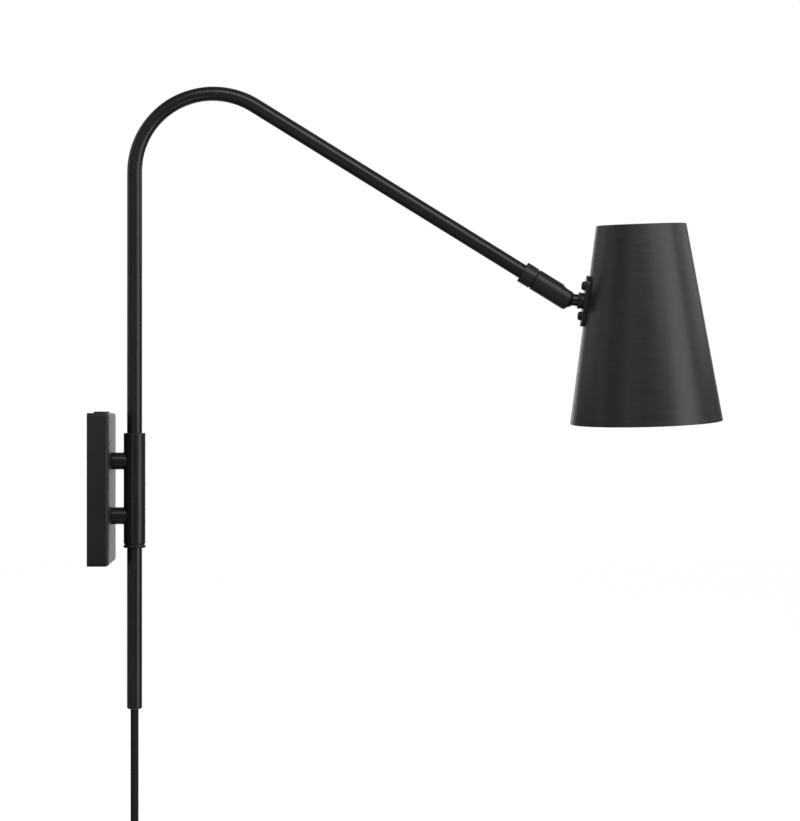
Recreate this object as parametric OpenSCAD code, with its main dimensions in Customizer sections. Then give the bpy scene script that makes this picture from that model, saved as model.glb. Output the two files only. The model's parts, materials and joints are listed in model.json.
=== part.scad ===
// Plug-in swing arm wall light: a hooked rod that turns and slides in a wall sleeve,
// a slotted ball swivel at the arm's end, and a spun cone shade around a lamp holder.
// Millimetres. Origin: middle of the wall plate's back, on the wall. +X points away
// from the wall, +Z up. The arm hangs in the XZ plane at rest.

/* [Wall plate] */
// Height of the wall plate
plate_h = 132; // [126:1:150]
// Width of the wall plate
plate_w = 88; // [80:1:110]
// Depth of the wall plate, from the wall to its front face
plate_d = 18.4; // [17:0.2:22]
// Sheet thickness of the wall plate
plate_t = 1.5; // [1.2:0.1:1.6]
// Distance between the two screws that hold the bracket to the wall
wall_screw_gap = 88.9; // [80:0.1:92]
// Diameter of the two standoffs between plate and sleeve
post_d = 15; // [12:0.5:15]
// Height of each standoff above or below the middle
post_z = 24; // [20:1:30]

/* [Sleeve] */
// Distance from the wall to the rod's axis
rod_x = 38; // [37:0.5:50]
// Length of the sleeve
sleeve_h = 97; // [90:1:110]
// Outside diameter of the sleeve
sleeve_od = 19; // [19:0.1:20]
// Inside diameter of the sleeve
sleeve_id = 16.6; // [16.4:0.1:16.8]
// Outside diameter of the liner that turns in the sleeve
liner_od = 15; // [15:0.05:15.1]
// Radial clearance of every running fit
fit = 0.05; // [0.02:0.01:0.08]

/* [Arm] */
// Outside diameter of the arm tube
rod_d = 13.2; // [13:0.05:13.2]
// Wall thickness of the arm tube
rod_t = 1.6; // [1.5:0.05:1.6]
// Height of the rod's lower end
rod_bottom = -193; // [-230:0.5:-180]
// Height at which the bend begins
bend_start = 277.4; // [240:0.1:300]
// Centreline radius of the bend
bend_r = 69; // [60:1:80]
// Slope of the arm below the horizontal, in degrees
arm_drop = 31.6; // [20:0.1:40]
// Length of the straight arm between the bend and the collar
arm_run = 277.3; // [220:0.1:320]

/* [Ball swivel] */
// Outside diameter of the collar and the swivel barrel
barrel_d = 19.2; // [19:0.1:20]
// Length of the swivel barrel
barrel_h = 36.8; // [36.4:0.1:38]
// Diameter of the ball
ball_d = 15; // [14.9:0.05:15.1]
// Diameter of the stem's neck behind the ball
neck_d = 10.6; // [10:0.1:10.6]
// Slope of the stem below the horizontal, in degrees
stem_drop = 7.1; // [0:0.1:15]
// Turn of the barrel about the arm, in degrees
head_roll = 4; // [-10:0.5:10]

/* [Shade] */
// Diameter of the closed top
shade_top_d = 79.4; // [76:0.1:90]
// Diameter of the open rim
shade_rim_d = 135.2; // [125:0.1:140]
// Height of the shade
shade_h = 175; // [165:1:185]
// Thickness of the spun metal
shade_t = 1; // [0.8:0.1:1.2]
// Distance of the flange from the top edge, down the slant
flange_at = 67.2; // [64:0.1:72]
// Length of the flange plate
flange_l = 45.6; // [42:0.1:50]
// Width of the flange plate
flange_w = 20; // [18:0.5:20]
// Distance between the flange screws
flange_gap = 26.8; // [26:0.1:30]

/* [Lamp holder] */
// Inside diameter of the screw shell that takes the lamp
lamp_d = 26.6; // [26.4:0.1:26.8]
// Length of the screw shell
lamp_l = 22; // [18:1:24]

/* [Cord] */
// Diameter of the cord
cord_d = 7; // [6.6:0.1:7]
// Height of the in-line switch's top
switch_top = -298; // [-300:1:-270]

/* [Hidden] */
$fn = 96;

black = "#2a2b2d";
graphite = "#3a3b3d";
steel = "#9a9ca0";
brass = "#c2a35a";
nylon = "#d8d6cf";
phenolic = "#1d1c1b";
textile = "#1a1a1c";

// clearance between neighbours that are pressed or screwed together
seat = 0.02;
// how far a cutting shape runs past the face that it cuts
past = 1;

// Wall plate and standoffs
screw_slack = 0.4;
standoff_screw_d = 5;
standoff_screw_l = 9;
standoff_head_d = 9.5;
standoff_head_h = 3.5;
standoff_key = 3.2;
standoff_thread = 7;
washer_t = 1;
washer_r = 5;
washer_gap = 0.05;
cover_screw_d = 4;
cover_screw_l = 9;
cover_head_d = 13;
cover_head_h = 1.3;
cover_screw_x = plate_d / 2;
bracket_t = 2;
bracket_w = 40;
bracket_gap = 0.3;
ear_w = 20;
ear_l = plate_d - plate_t - 0.5;
ear_top = plate_h / 2 - plate_t - bracket_gap;
wall_hole_d = 4.8;

// Sleeve, liner and clamp ring, all on the rod's axis
sleeve_top = sleeve_h / 2;
sleeve_bottom = -sleeve_h / 2;
sleeve_edge = 0.5;
bush_l = 12;
bush_top = sleeve_top - 2;
bush_flange_t = 0.4;
liner_head_t = 1.9;
liner_head_d = sleeve_id - 0.3;
slit_w = 1;
slit_h = 14;
neck_z = sleeve_bottom - bush_flange_t - 0.1;
neck_inset = 0.6;
bead_top = neck_z - 0.7;
bead_h = 2.4;
bead_r = 1.1;
bead_out_r = sleeve_od / 2 + 0.2;
ring_bottom = bead_top - bead_h;
liner_bottom = ring_bottom + 0.4;
rod_bore = rod_d - 2 * rod_t;
bushing_l = 12;
bushing_lip_r = 4;
bushing_lip_h = 0.7;
cord_hole_r = cord_d / 2 + 0.1;

// Arm: the pivot is the middle of the ball
bend_sweep = 90 + arm_drop;
bend_lap = 1;
bend_thinning = 0.04;
bend_x = rod_x + bend_r;
bend_end = [bend_x - bend_r * cos(bend_sweep), 0, bend_start + bend_r * sin(bend_sweep)];
arm_dir = [cos(arm_drop), 0, -sin(arm_drop)];
collar_l = 11.7;
groove_l = 1.1;
socket_l = 1.6;
end_past_pivot = 3.9;
barrel_z = end_past_pivot - barrel_h;
collar_end = barrel_z - groove_l;
collar_z = collar_end - collar_l;
pivot = bend_end + (arm_run - collar_z) * arm_dir;
tube_end = collar_end - socket_l;
arm_lead_d = 6;
lead_gap = 0.2;

// Swivel: distances along the arm from the pivot
swivel_washer_r = 8.6;
stud_d = 9.9;
stud_bore = 6;
stud_z = collar_z - 8;
stud_head_d = 13;
stud_head_t = 2.4;
plug_l = 5.2;
plug_end = barrel_z + plug_l;
stud_head_z = plug_end + 0.1;
bore_r = 7.6;
barrel_corner = 4.5;
pin_d = 1.2;
pin_r = 5.7;
pin_seat = 1.2;
pin_gap = 0.2;
lug_angle = 25;
track_r = 6.5;
track_depth = 1.5;
disc_count = 6;
disc_pitch = 1.5;
disc_in_r = 4;
disc_out_r = 7.3;
disc_cone_h = 0.7;
disc_t = 0.8;
discs_z = stud_head_z + stud_head_t + 0.1;
slot_w = 11;
slot_l = 13.2;
slot_round_z = end_past_pivot - slot_l + slot_w / 2;
seat_z = discs_z + disc_count * disc_pitch + seat;
seat_end = -2.2;
seat_bore = 7;
seat_notch_w = 11.6;
seat_notch_z = -6.6;

// Head: distances along the stem from the pivot
lock_z = 10.2;
lock_nut_d = 14.6;
lock_nut_flats = 13.2;
boss_z = 12.7;
boss_r = 7;
flange_z = 15.1;
flange_t = 1.6;
flange_hole_d = 4.3;
flange_screw_d = 4;
flange_screw_l = 11.4;
flange_head_d = 8;
flange_head_h = 3.4;
flange_key = 2.5;
saddle_z = flange_z + flange_t;
saddle_inset = 0.3;
saddle_gap = 0.02;
shade_sides = 128;
shade_z = 17.8;
bracket_z = 19.65;
lamp_bracket_t = 1.5;
lamp_bracket_w = 14;
bracket_low = -44;
bracket_l = 64;
shelf_back = -41.3;
shelf_l = 52.3;
shelf_w = 13.4;
inner_z = bracket_z + lamp_bracket_t + 0.05;
inner_washer_t = 1;
inner_washer_r = 6.5;
stem_nut_flats = 12;
stem_nut_h = 3.15;
flange_nut_flats = 7;
flange_nut_h = 3.2;
spigot_r = 4;
spigot_slack = 0.3;
stem_bore_r = 2.5;
stem_funnel_r = 4.6;
stem_end = 26.6;
lead_d = 2;
lead_apart = 2.6;
lead_rise = 9;
lead_reach = 34;
lead_drop = 7;
cone_angle = atan((shade_rim_d - shade_top_d) / 2 / shade_h);
top_centre = [
  -flange_at - shade_top_d / 2 * sin(cone_angle), 0,
  shade_z + shade_top_d / 2 * cos(cone_angle)
];

// Lamp holder: distances down the shade's axis from its top
shelf_z = 24;
nipple_r = 5;
nipple_bore_r = 3;
nipple_rise = 6;
nipple_drop = 9;
nipple_nut_flats = 14;
nipple_nut_h = 3;
cap_z = shelf_z + lamp_bracket_t + 0.1;
cap_h = 14.4;
cap_r = 19;
cap_top_r = 13;
cap_shoulder = 7;
cap_t = 3;
holder_z = cap_z + cap_h + 0.05;
holder_h = 34;
holder_r = 18.5;
holder_wire_d = 3;
holder_wire_y = 9;
contact_z = holder_z + 7;
contact_r = 5;
contact_t = 0.8;
tongue_r = 2.2;
tongue_h = 1;
shell_z = contact_z + 2;
shell_t = 0.8;

// Cord: it leaves the bushing straight down, swings left into the hank's top, and its
// other end hangs from the hank's left side to the plug
cord_exit_z = rod_bottom - bushing_lip_h;
hank_top = -403;
hank_run = 70;
hank_bend_r = 28.8;
cord_pitch = 7.2;
hank_out_r = hank_bend_r + cord_pitch / 2;
hank_in_r = hank_bend_r - 1.5 * cord_pitch;
hank_half = 1.5 * cord_pitch;
drop_route = [
  [rod_x, 0, cord_exit_z], [rod_x, 0, -210], [rod_x, 0, -225], [rod_x, 0, -240],
  [rod_x, 0, -255], [rod_x, 0, -270], [rod_x, 0, -285], [rod_x, 0, -300],
  [rod_x, 0, -315], [rod_x, 0, -330], [rod_x, 0, -345], [rod_x, 0, -352],
  [rod_x, -1, -360], [rod_x, -4, -367], [rod_x, -9, -373.5]
];
tail_x = rod_x + cord_pitch;
tail_y = -hank_bend_r;
tail_end = -503;
tail_route = [
  [tail_x, tail_y, -488], [tail_x, tail_y, -496], [tail_x, tail_y, tail_end]
];
tie_h = 12;
tie_t = 1.2;
tie_gap = 0.1;
switch_l = 52;
switch_w = 26;
switch_half = 8;
switch_mid = switch_top - switch_l / 2;
switch_screw_x = 8.5;
switch_screw_z = 16;
switch_screw_d = 2.5;
switch_screw_l = 12;
switch_head_d = 4.4;
switch_head_h = 1.7;
switch_key = 1.5;
switch_hole_d = 2.6;
window_w = 12;
window_h = 20;
window_depth = 3.8;
rocker_l = 19.4;
rocker_w = 11.4;
rocker_y = -6.5;
rocker_tilt = 7;
trunnion_r = 1;
trunnion_l = 14.8;
plug_relief_h = 14;
relief_top_r = 4.5;
relief_low_r = 6;
plug_h = 28;
plug_w = 23.2;
plug_depth = 15;
blade_gap = 12.7;
blade_t = 1.5;
blade_w = 6.4;
blade_l = 16;
blade_root = 7.9;
blade_slack = 0.05;

// ---- frames ----

// Along the arm, from the pivot: z follows the arm, -x is its upper side
module on_arm() {
  translate(pivot) rotate([0, 90 + arm_drop, 0]) children();
}

// As on_arm(), turned with the swivel barrel
module on_barrel() {
  translate(pivot) rotate(a = head_roll, v = arm_dir) rotate([0, 90 + arm_drop, 0]) children();
}

// Along the stem, from the pivot: z points into the shade, x down the shade's slant
module on_head() {
  translate(pivot) rotate(a = head_roll, v = arm_dir) rotate([0, 90 + stem_drop, 0]) children();
}

// In the shade, from the middle of its top: -z runs down its axis, -x is the arm's side
module in_shade() {
  on_head() translate(top_centre) rotate([0, -90 - cone_angle, 0]) children();
}

// Upright on the rod's axis
module on_rod() {
  translate([rod_x, 0, 0]) children();
}

// ---- shapes that repeat ----

// A ring between two heights
module ring(outer_r, inner_r, low, high) {
  translate([0, 0, low]) difference() {
    cylinder(r = outer_r, h = high - low);
    translate([0, 0, -past]) cylinder(r = inner_r, h = high - low + 2 * past);
  }
}

// A hexagon nut between two heights, with a round hole
module hex_nut(flats, hole_r, low, high) {
  translate([0, 0, low]) difference() {
    cylinder(r = flats / 2 / cos(30), h = high - low, $fn = 6);
    translate([0, 0, -past]) cylinder(r = hole_r, h = high - low + 2 * past);
  }
}

// A flat bar with round ends, lying along x
module stadium(length, width) {
  square([length - width, width], center = true);
  for (side = [-1, 1])
    translate([side * (length - width) / 2, 0]) circle(d = width);
}

// The arm's path as a solid rod of one diameter. Bending thins the tube a little, so the
// bend is a hair slimmer and laps into both straight lengths.
module arm_path(d, low, far) {
  on_rod() translate([0, 0, low]) cylinder(d = d, h = bend_start - low);
  translate([bend_x, 0, bend_start]) rotate([90, 0, 0]) rotate([0, 0, 180 - bend_sweep - bend_lap])
    rotate_extrude(angle = bend_sweep + 2 * bend_lap) translate([bend_r, 0])
      circle(d = d - bend_thinning);
  on_arm() translate([0, 0, collar_z - arm_run]) cylinder(d = d, h = far - collar_z + arm_run);
}

// A pan head with a hexagon recess: its underside at 0, its shank towards -z
module pan_screw(head_d, head_h, shank_d, shank_l, key) {
  recess = 1.6;
  difference() {
    intersection() {
      cylinder(d = head_d, h = head_h);
      translate([0, 0, head_h - head_d]) sphere(r = head_d);
    }
    translate([0, 0, head_h - recess]) cylinder(d = key, h = recess + past, $fn = 6);
  }
  translate([0, 0, -shank_l]) cylinder(d = shank_d, h = shank_l);
}

function unit(v) = v / norm(v);
function heading(route, i) =
  unit(route[min(i + 1, len(route) - 1)] - route[max(i - 1, 0)]);

// A round tube along a route that stays in one plane of constant x
module cord_along(route) {
  sides = 12;
  n = len(route);
  points = [
    for (i = [0:n - 1], k = [0:sides - 1])
      let (t = heading(route, i), across = [1, 0, 0], up = cross(t, across), a = 360 * k / sides)
        route[i] + cord_d / 2 * (cos(a) * across + sin(a) * up)
  ];
  walls = [
    for (i = [0:n - 2], k = [0:sides - 1])
      let (next = (k + 1) % sides)
        [i * sides + k, (i + 1) * sides + k, (i + 1) * sides + next, i * sides + next]
  ];
  first = [for (k = [0:sides - 1]) k];
  last = [for (k = [sides - 1:-1:0]) (n - 1) * sides + k];
  polyhedron(points, concat(walls, [first, last]));
}

// ---- wall plate ----

// Pressed steel cover, open at the back
module backplate() color(black) difference() {
  translate([0, -plate_w / 2, -plate_h / 2]) cube([plate_d, plate_w, plate_h]);
  translate([-past, plate_t - plate_w / 2, plate_t - plate_h / 2])
    cube([plate_d - plate_t + past, plate_w - 2 * plate_t, plate_h - 2 * plate_t]);
  for (side = [-1, 1])
    translate([plate_d / 2, 0, side * post_z]) rotate([0, 90, 0])
      cylinder(d = standoff_screw_d + screw_slack, h = plate_d);
  translate([cover_screw_x, 0, -plate_h])
    cylinder(d = cover_screw_d + screw_slack, h = 2 * plate_h);
}

// Flat strap against the wall, with an ear at each end for the cover's screws
module wall_bracket() color(steel) difference() {
  union() {
    translate([0, -bracket_w / 2, -ear_top]) cube([bracket_t, bracket_w, 2 * ear_top]);
    for (low = [-ear_top, ear_top - bracket_t])
      translate([0, -ear_w / 2, low]) cube([ear_l, ear_w, bracket_t]);
  }
  for (side = [-1, 1])
    translate([-past, 0, side * wall_screw_gap / 2]) rotate([0, 90, 0])
      cylinder(d = wall_hole_d, h = bracket_t + 2 * past);
  translate([cover_screw_x, 0, -plate_h]) cylinder(r = cover_screw_d / 2 + seat, h = 2 * plate_h);
}

// Low-headed screws through the cover's top and bottom
module cover_screws() color(black) for (turn = [0, 180])
  translate([cover_screw_x, 0, 0]) rotate([turn, 0, 0]) {
    translate([0, 0, plate_h / 2 + seat]) cylinder(d = cover_head_d, h = cover_head_h);
    translate([0, 0, plate_h / 2 - cover_screw_l])
      cylinder(d = cover_screw_d, h = cover_screw_l + cover_head_h / 2);
  }

// Standoff: a round post coped to the sleeve, tapped for a screw from behind
module standoff(height) color(black) difference() {
  translate([plate_d, 0, height]) rotate([0, 90, 0]) cylinder(d = post_d, h = rod_x - plate_d);
  on_rod() translate([0, 0, height - post_d]) cylinder(d = sleeve_od, h = 2 * post_d);
  translate([plate_d - past, 0, height]) rotate([0, 90, 0])
    cylinder(r = standoff_screw_d / 2 + seat, h = standoff_thread + past);
}
module upper_standoff() standoff(post_z);
module lower_standoff() standoff(-post_z);

// Screws from inside the cover into the standoffs, with their spring washers
module standoff_screws() color(steel) for (side = [-1, 1])
  translate([plate_d - plate_t - washer_t - 2 * washer_gap, 0, side * post_z]) rotate([0, -90, 0])
    pan_screw(standoff_head_d, standoff_head_h, standoff_screw_d, standoff_screw_l, standoff_key);
module standoff_washers() color(steel) for (side = [-1, 1])
  translate([plate_d - plate_t - washer_t - washer_gap, 0, side * post_z]) rotate([0, 90, 0])
    ring(washer_r, standoff_screw_d / 2 + 0.15, 0, washer_t);

// ---- sleeve and liner ----

module sleeve() color(black) on_rod() rotate_extrude() polygon([
  [sleeve_id / 2, sleeve_bottom], [sleeve_od / 2 - sleeve_edge, sleeve_bottom],
  [sleeve_od / 2, sleeve_bottom + sleeve_edge], [sleeve_od / 2, sleeve_top - sleeve_edge],
  [sleeve_od / 2 - sleeve_edge, sleeve_top], [sleeve_id / 2, sleeve_top]
]);

module upper_bush() color(nylon) on_rod()
  ring(sleeve_id / 2 - seat, liner_od / 2 + fit, bush_top - bush_l, bush_top);

module lower_bush() color(nylon) on_rod() {
  ring(sleeve_id / 2 - seat, liner_od / 2 + fit, sleeve_bottom - bush_flange_t,
    sleeve_bottom + bush_l);
  ring(sleeve_od / 2 - neck_inset, liner_od / 2 + fit, sleeve_bottom - bush_flange_t,
    sleeve_bottom);
}

// Turning liner: its head hangs on the upper bush, its slit lower end grips the rod
module liner() color(steel) on_rod() difference() {
  union() {
    translate([0, 0, liner_bottom]) cylinder(d = liner_od, h = sleeve_top - liner_bottom);
    translate([0, 0, sleeve_top - liner_head_t]) cylinder(d = liner_head_d, h = liner_head_t);
  }
  translate([0, 0, ring_bottom]) cylinder(r = rod_d / 2 + fit, h = 2 * sleeve_h);
  for (turn = [0, 90])
    rotate([0, 0, turn + 45]) translate([-sleeve_od, -slit_w / 2, ring_bottom])
      cube([2 * sleeve_od, slit_w, slit_h]);
}

// Clamp ring: a short neck under the sleeve and a round bead that the fingers turn
module clamp_ring() color(black) on_rod() difference() {
  union() {
    translate([0, 0, bead_top - bead_r])
      cylinder(r = sleeve_od / 2 - neck_inset, h = neck_z - bead_top + bead_r);
    rotate_extrude() {
      translate([0, ring_bottom]) square([bead_out_r - bead_r, bead_h]);
      translate([0, ring_bottom + bead_r]) square([bead_out_r, bead_h - 2 * bead_r]);
      for (height = [ring_bottom + bead_r, bead_top - bead_r])
        translate([bead_out_r - bead_r, height]) circle(r = bead_r);
    }
  }
  translate([0, 0, ring_bottom - past])
    cylinder(r = liner_od / 2 + fit, h = neck_z - ring_bottom + 2 * past);
}

// ---- arm ----

// One bent tube from the cord's outlet to the collar
module arm_tube() color(black) difference() {
  arm_path(rod_d, rod_bottom, tube_end);
  arm_path(rod_bore, rod_bottom - past, tube_end + past);
}

// Insert in the rod's lower end that the cord comes out of
module cord_bushing() color(graphite) on_rod() {
  ring(rod_bore / 2 - seat, cord_hole_r, rod_bottom, rod_bottom + bushing_l);
  ring(bushing_lip_r, cord_hole_r, cord_exit_z, rod_bottom + past);
}

module arm_collar() color(black) on_arm() {
  ring(barrel_d / 2, rod_d / 2 + seat, collar_z, tube_end);
  ring(barrel_d / 2, stud_d / 2 + seat, tube_end + seat, collar_end);
  ring(barrel_d / 2, rod_d / 2, tube_end - seat, tube_end + 2 * seat);
}

module swivel_washer() color(black) on_arm()
  ring(swivel_washer_r, stud_d / 2 + seat, collar_end + seat, barrel_z - fit);

// Hollow stud pressed into the tube, its head holding the barrel's plug
module swivel_stud() color(steel) on_arm() difference() {
  union() {
    translate([0, 0, stud_z]) cylinder(d = stud_d, h = stud_head_z + stud_head_t / 2 - stud_z);
    translate([0, 0, stud_head_z]) cylinder(d = stud_head_d, h = stud_head_t);
  }
  translate([0, 0, stud_z - past]) cylinder(d = stud_bore, h = -stud_z);
  translate([pin_r, 0, stud_head_z - past]) cylinder(r = pin_d / 2 + seat, h = pin_seat + past);
}

// Pin in the stud's head that stops the barrel just short of a full turn
module stop_pin() color(steel) on_arm()
  translate([pin_r, 0, plug_end - track_depth + pin_gap])
    cylinder(d = pin_d, h = track_depth - pin_gap + pin_seat);

// The cord's inner lead, inside the tube from its lower end to the stud
module arm_lead() color(textile)
  arm_path(arm_lead_d, rod_bottom + lead_gap, stud_z - lead_gap);

// ---- swivel barrel ----

module swivel_barrel() color(black) on_barrel() difference() {
  rotate_extrude() {
    translate([0, barrel_z]) square([barrel_d / 2 - barrel_corner, barrel_h]);
    translate([0, barrel_z]) square([barrel_d / 2, barrel_h - barrel_corner]);
    intersection() {
      translate([barrel_d / 2 - barrel_corner, end_past_pivot - barrel_corner])
        circle(r = barrel_corner);
      translate([0, barrel_z]) square([barrel_d, barrel_h]);
    }
  }
  translate([0, 0, barrel_z - past]) cylinder(r = bore_r, h = past - barrel_z);
  sphere(d = ball_d + 2 * fit);
  cylinder(d = slot_w, h = barrel_d);
  translate([-barrel_d, -slot_w / 2, slot_round_z]) cube([barrel_d, slot_w, slot_l]);
  translate([-barrel_d, 0, slot_round_z]) rotate([0, 90, 0]) cylinder(d = slot_w, h = barrel_d);
}

// Threaded ring in the barrel's base; a lug in its track meets the stop pin
module barrel_plug() color(steel) on_barrel() {
  ring(bore_r - seat, stud_d / 2 + fit, barrel_z, plug_end - track_depth);
  ring(bore_r - seat, track_r, plug_end - track_depth, plug_end);
  rotate([0, 0, 180 - lug_angle / 2]) rotate_extrude(angle = lug_angle)
    translate([stud_d / 2 + fit, plug_end - track_depth])
      square([track_r - stud_d / 2, track_depth]);
}

// Stack of cone washers, turned alternately, that presses the seat on the ball
module disc_springs() color(steel) on_barrel() for (i = [0:disc_count - 1])
  translate([0, 0, discs_z + i * disc_pitch + (i % 2 == 0 ? 0 : disc_pitch)])
    mirror([0, 0, i % 2]) rotate_extrude()
      polygon([
        [disc_in_r, 0], [disc_out_r, disc_cone_h],
        [disc_out_r, disc_cone_h + disc_t - seat], [disc_in_r, disc_t - seat]
      ]);

// Cupped seat under the ball, notched where the stem leans through the slot
module ball_seat() color(nylon) on_barrel() difference() {
  translate([0, 0, seat_z]) cylinder(r = bore_r - 0.1, h = seat_end - seat_z);
  sphere(d = ball_d + 2 * fit);
  translate([0, 0, seat_z - past]) cylinder(d = seat_bore, h = -seat_z);
  translate([-bore_r, -seat_notch_w / 2, seat_notch_z]) cube([bore_r, seat_notch_w, -seat_notch_z]);
}

// ---- ball ----

// Ball, neck and hollow threaded spigot in one turned piece
module ball_stem() color(black) on_head() difference() {
  union() {
    sphere(d = ball_d);
    cylinder(d = neck_d, h = lock_z);
    translate([0, 0, lock_z - past]) cylinder(r = spigot_r, h = stem_end - lock_z + past);
  }
  translate([0, 0, -ball_d]) cylinder(r = stem_bore_r, h = ball_d + stem_end + past);
  translate([0, 0, -ball_d / 2 - 0.5]) cylinder(r1 = stem_funnel_r, r2 = stem_bore_r - 0.1, h = 4);
}

module lock_nut() color(black) on_head() difference() {
  translate([0, 0, lock_z + seat]) cylinder(d = lock_nut_d, h = boss_z - lock_z - 0.1 - seat);
  translate([0, 0, lock_z - past]) cylinder(r = spigot_r + seat, h = boss_z - lock_z + 2 * past);
  for (y = [-lock_nut_d - lock_nut_flats / 2, lock_nut_flats / 2])
    translate([-lock_nut_d, y, lock_z - past])
      cube([2 * lock_nut_d, lock_nut_d, boss_z - lock_z + 2 * past]);
}

module stem_washer() color(steel) on_head()
  ring(inner_washer_r, spigot_r + seat, inner_z, inner_z + inner_washer_t);

module stem_nut() color(steel) on_head()
  translate([0, 0, inner_z + inner_washer_t + washer_gap])
    hex_nut(stem_nut_flats, spigot_r + seat, 0, stem_nut_h);

// ---- head ----

module flange_boss() color(black) on_head()
  ring(boss_r, spigot_r + fit, boss_z, flange_z - seat);

module flange_plate() color(black) on_head() difference() {
  translate([0, 0, flange_z]) linear_extrude(flange_t) stadium(flange_l, flange_w);
  translate([0, 0, flange_z - past]) cylinder(r = spigot_r + fit, h = flange_t + 2 * past);
  for (side = [-1, 1])
    translate([side * flange_gap / 2, 0, flange_z - past])
      cylinder(d = flange_hole_d, h = flange_t + 2 * past);
}

// Spacer under the flange, hollowed to the shade's cone
module flange_saddle() color(black) {
  reach = 4;
  difference() {
    on_head() translate([0, 0, saddle_z + seat]) linear_extrude(reach)
      stadium(flange_l - 2 * saddle_inset, flange_w - 2 * saddle_inset);
    in_shade() translate([0, 0, -shade_h])
      cylinder(
        r1 = shade_rim_d / 2 + saddle_gap, r2 = shade_top_d / 2 + saddle_gap, h = shade_h,
        $fn = shade_sides
      );
    on_head() translate([0, 0, saddle_z - past])
      cylinder(r = spigot_r + spigot_slack, h = 2 * reach);
    on_head() for (side = [-1, 1])
      translate([side * flange_gap / 2, 0, saddle_z - past])
        cylinder(d = flange_hole_d, h = 2 * reach);
  }
}

module flange_screws() color(black) on_head() for (side = [-1, 1])
  translate([side * flange_gap / 2, 0, flange_z - seat]) rotate([180, 0, 0])
    pan_screw(flange_head_d, flange_head_h, flange_screw_d, flange_screw_l, flange_key);

module flange_nuts() color(steel) on_head() for (side = [-1, 1])
  translate([side * flange_gap / 2, 0, inner_z])
    hex_nut(flange_nut_flats, flange_screw_d / 2 + seat, 0, flange_nut_h);

// Spun cone with a closed flat top, drilled for the stem and the flange screws
module shade() color(graphite) {
  reach = 4;
  difference() {
    in_shade() rotate_extrude($fn = shade_sides) polygon([
      [0, 0], [shade_top_d / 2, 0], [shade_rim_d / 2, -shade_h],
      [shade_rim_d / 2 - shade_t, -shade_h], [shade_top_d / 2 - shade_t, -shade_t],
      [0, -shade_t]
    ]);
    on_head() translate([0, 0, shade_z - reach])
      cylinder(r = spigot_r + spigot_slack, h = 2 * reach);
    on_head() for (side = [-1, 1])
      translate([side * flange_gap / 2, 0, shade_z - reach])
        cylinder(d = flange_hole_d, h = 2 * reach);
  }
}

// Angled strap inside the shade: one leg on the wall, the other out to the axis
module lamp_bracket() color(steel) difference() {
  union() {
    on_head() translate([bracket_low, -lamp_bracket_w / 2, bracket_z])
      cube([bracket_l, lamp_bracket_w, lamp_bracket_t]);
    in_shade() translate([shelf_back, -shelf_w / 2, -shelf_z - lamp_bracket_t])
      cube([shelf_l, shelf_w, lamp_bracket_t]);
  }
  on_head() translate([0, 0, bracket_z - past])
    cylinder(r = spigot_r + spigot_slack, h = lamp_bracket_t + 2 * past);
  on_head() for (side = [-1, 1])
    translate([side * flange_gap / 2, 0, bracket_z - past])
      cylinder(d = flange_hole_d, h = lamp_bracket_t + 2 * past);
  in_shade() translate([0, 0, -shelf_z - lamp_bracket_t - past])
    cylinder(r = nipple_r + 0.1, h = lamp_bracket_t + 2 * past);
}

module lamp_nipple() color(brass) in_shade()
  ring(nipple_r, nipple_bore_r, -cap_z - nipple_drop, -shelf_z + nipple_rise);

module nipple_nut() color(brass) in_shade()
  hex_nut(nipple_nut_flats, nipple_r + seat, washer_gap - shelf_z, nipple_nut_h - shelf_z);

// Domed cap of the lamp holder, hollow for the terminals
module holder_cap() color(phenolic) in_shade() translate([0, 0, -cap_z]) difference() {
  rotate_extrude() polygon([
    [0, 0], [cap_top_r, 0], [cap_r, -cap_shoulder], [cap_r, -cap_h], [cap_r - cap_t, -cap_h],
    [cap_r - cap_t, -cap_shoulder - 0.5], [cap_top_r, -cap_t - 1], [0, -cap_t - 1]
  ]);
  translate([0, 0, -cap_shoulder]) cylinder(r = nipple_r + seat, h = cap_shoulder + past);
}

module holder_body() color(phenolic) in_shade() difference() {
  translate([0, 0, -holder_z - holder_h]) cylinder(r = holder_r, h = holder_h);
  translate([0, 0, -holder_z - holder_h - past])
    cylinder(r = lamp_d / 2 + shell_t + 0.2, h = holder_h + holder_z - contact_z + past);
  for (side = [-1, 1])
    translate([0, side * holder_wire_y, -contact_z - past])
      cylinder(d = holder_wire_d, h = contact_z - holder_z + 2 * past);
}

module screw_shell() color(brass) in_shade()
  ring(lamp_d / 2 + shell_t, lamp_d / 2, -shell_z - lamp_l, -shell_z);

// Sprung tongue that meets the lamp's tip
module centre_contact() color(brass) in_shade() {
  translate([0, 0, -contact_z - contact_t]) cylinder(r = contact_r, h = contact_t - washer_gap);
  translate([0, 0, -contact_z - contact_t - tongue_h]) cylinder(r = tongue_r, h = tongue_h + 0.2);
}

// Two insulated leads from the stem to the holder's cap, each with two knees
module lamp_leads() color(textile) on_head() for (side = [-1, 1])
  translate([0, side * lead_apart / 2, stem_end + 0.1]) {
    cylinder(d = lead_d, h = lead_rise);
    translate([-lead_reach, 0, lead_rise]) rotate([0, 90, 0]) cylinder(d = lead_d, h = lead_reach);
    translate([-lead_reach, 0, lead_rise]) cylinder(d = lead_d, h = lead_drop);
    for (x = [-lead_reach, 0])
      translate([x, 0, lead_rise]) sphere(d = lead_d + 0.1);
  }

// ---- cord ----

module cord_drop() color(textile) cord_along(drop_route);

module cord_tail() color(textile) cord_along(tail_route);

// Outline of the hank: two straight runs and two round ends
module hank_outline(r) {
  translate([-r, -hank_run / 2]) square([2 * r, hank_run]);
  for (side = [-1, 1])
    translate([0, side * hank_run / 2]) circle(r = r);
}

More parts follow.
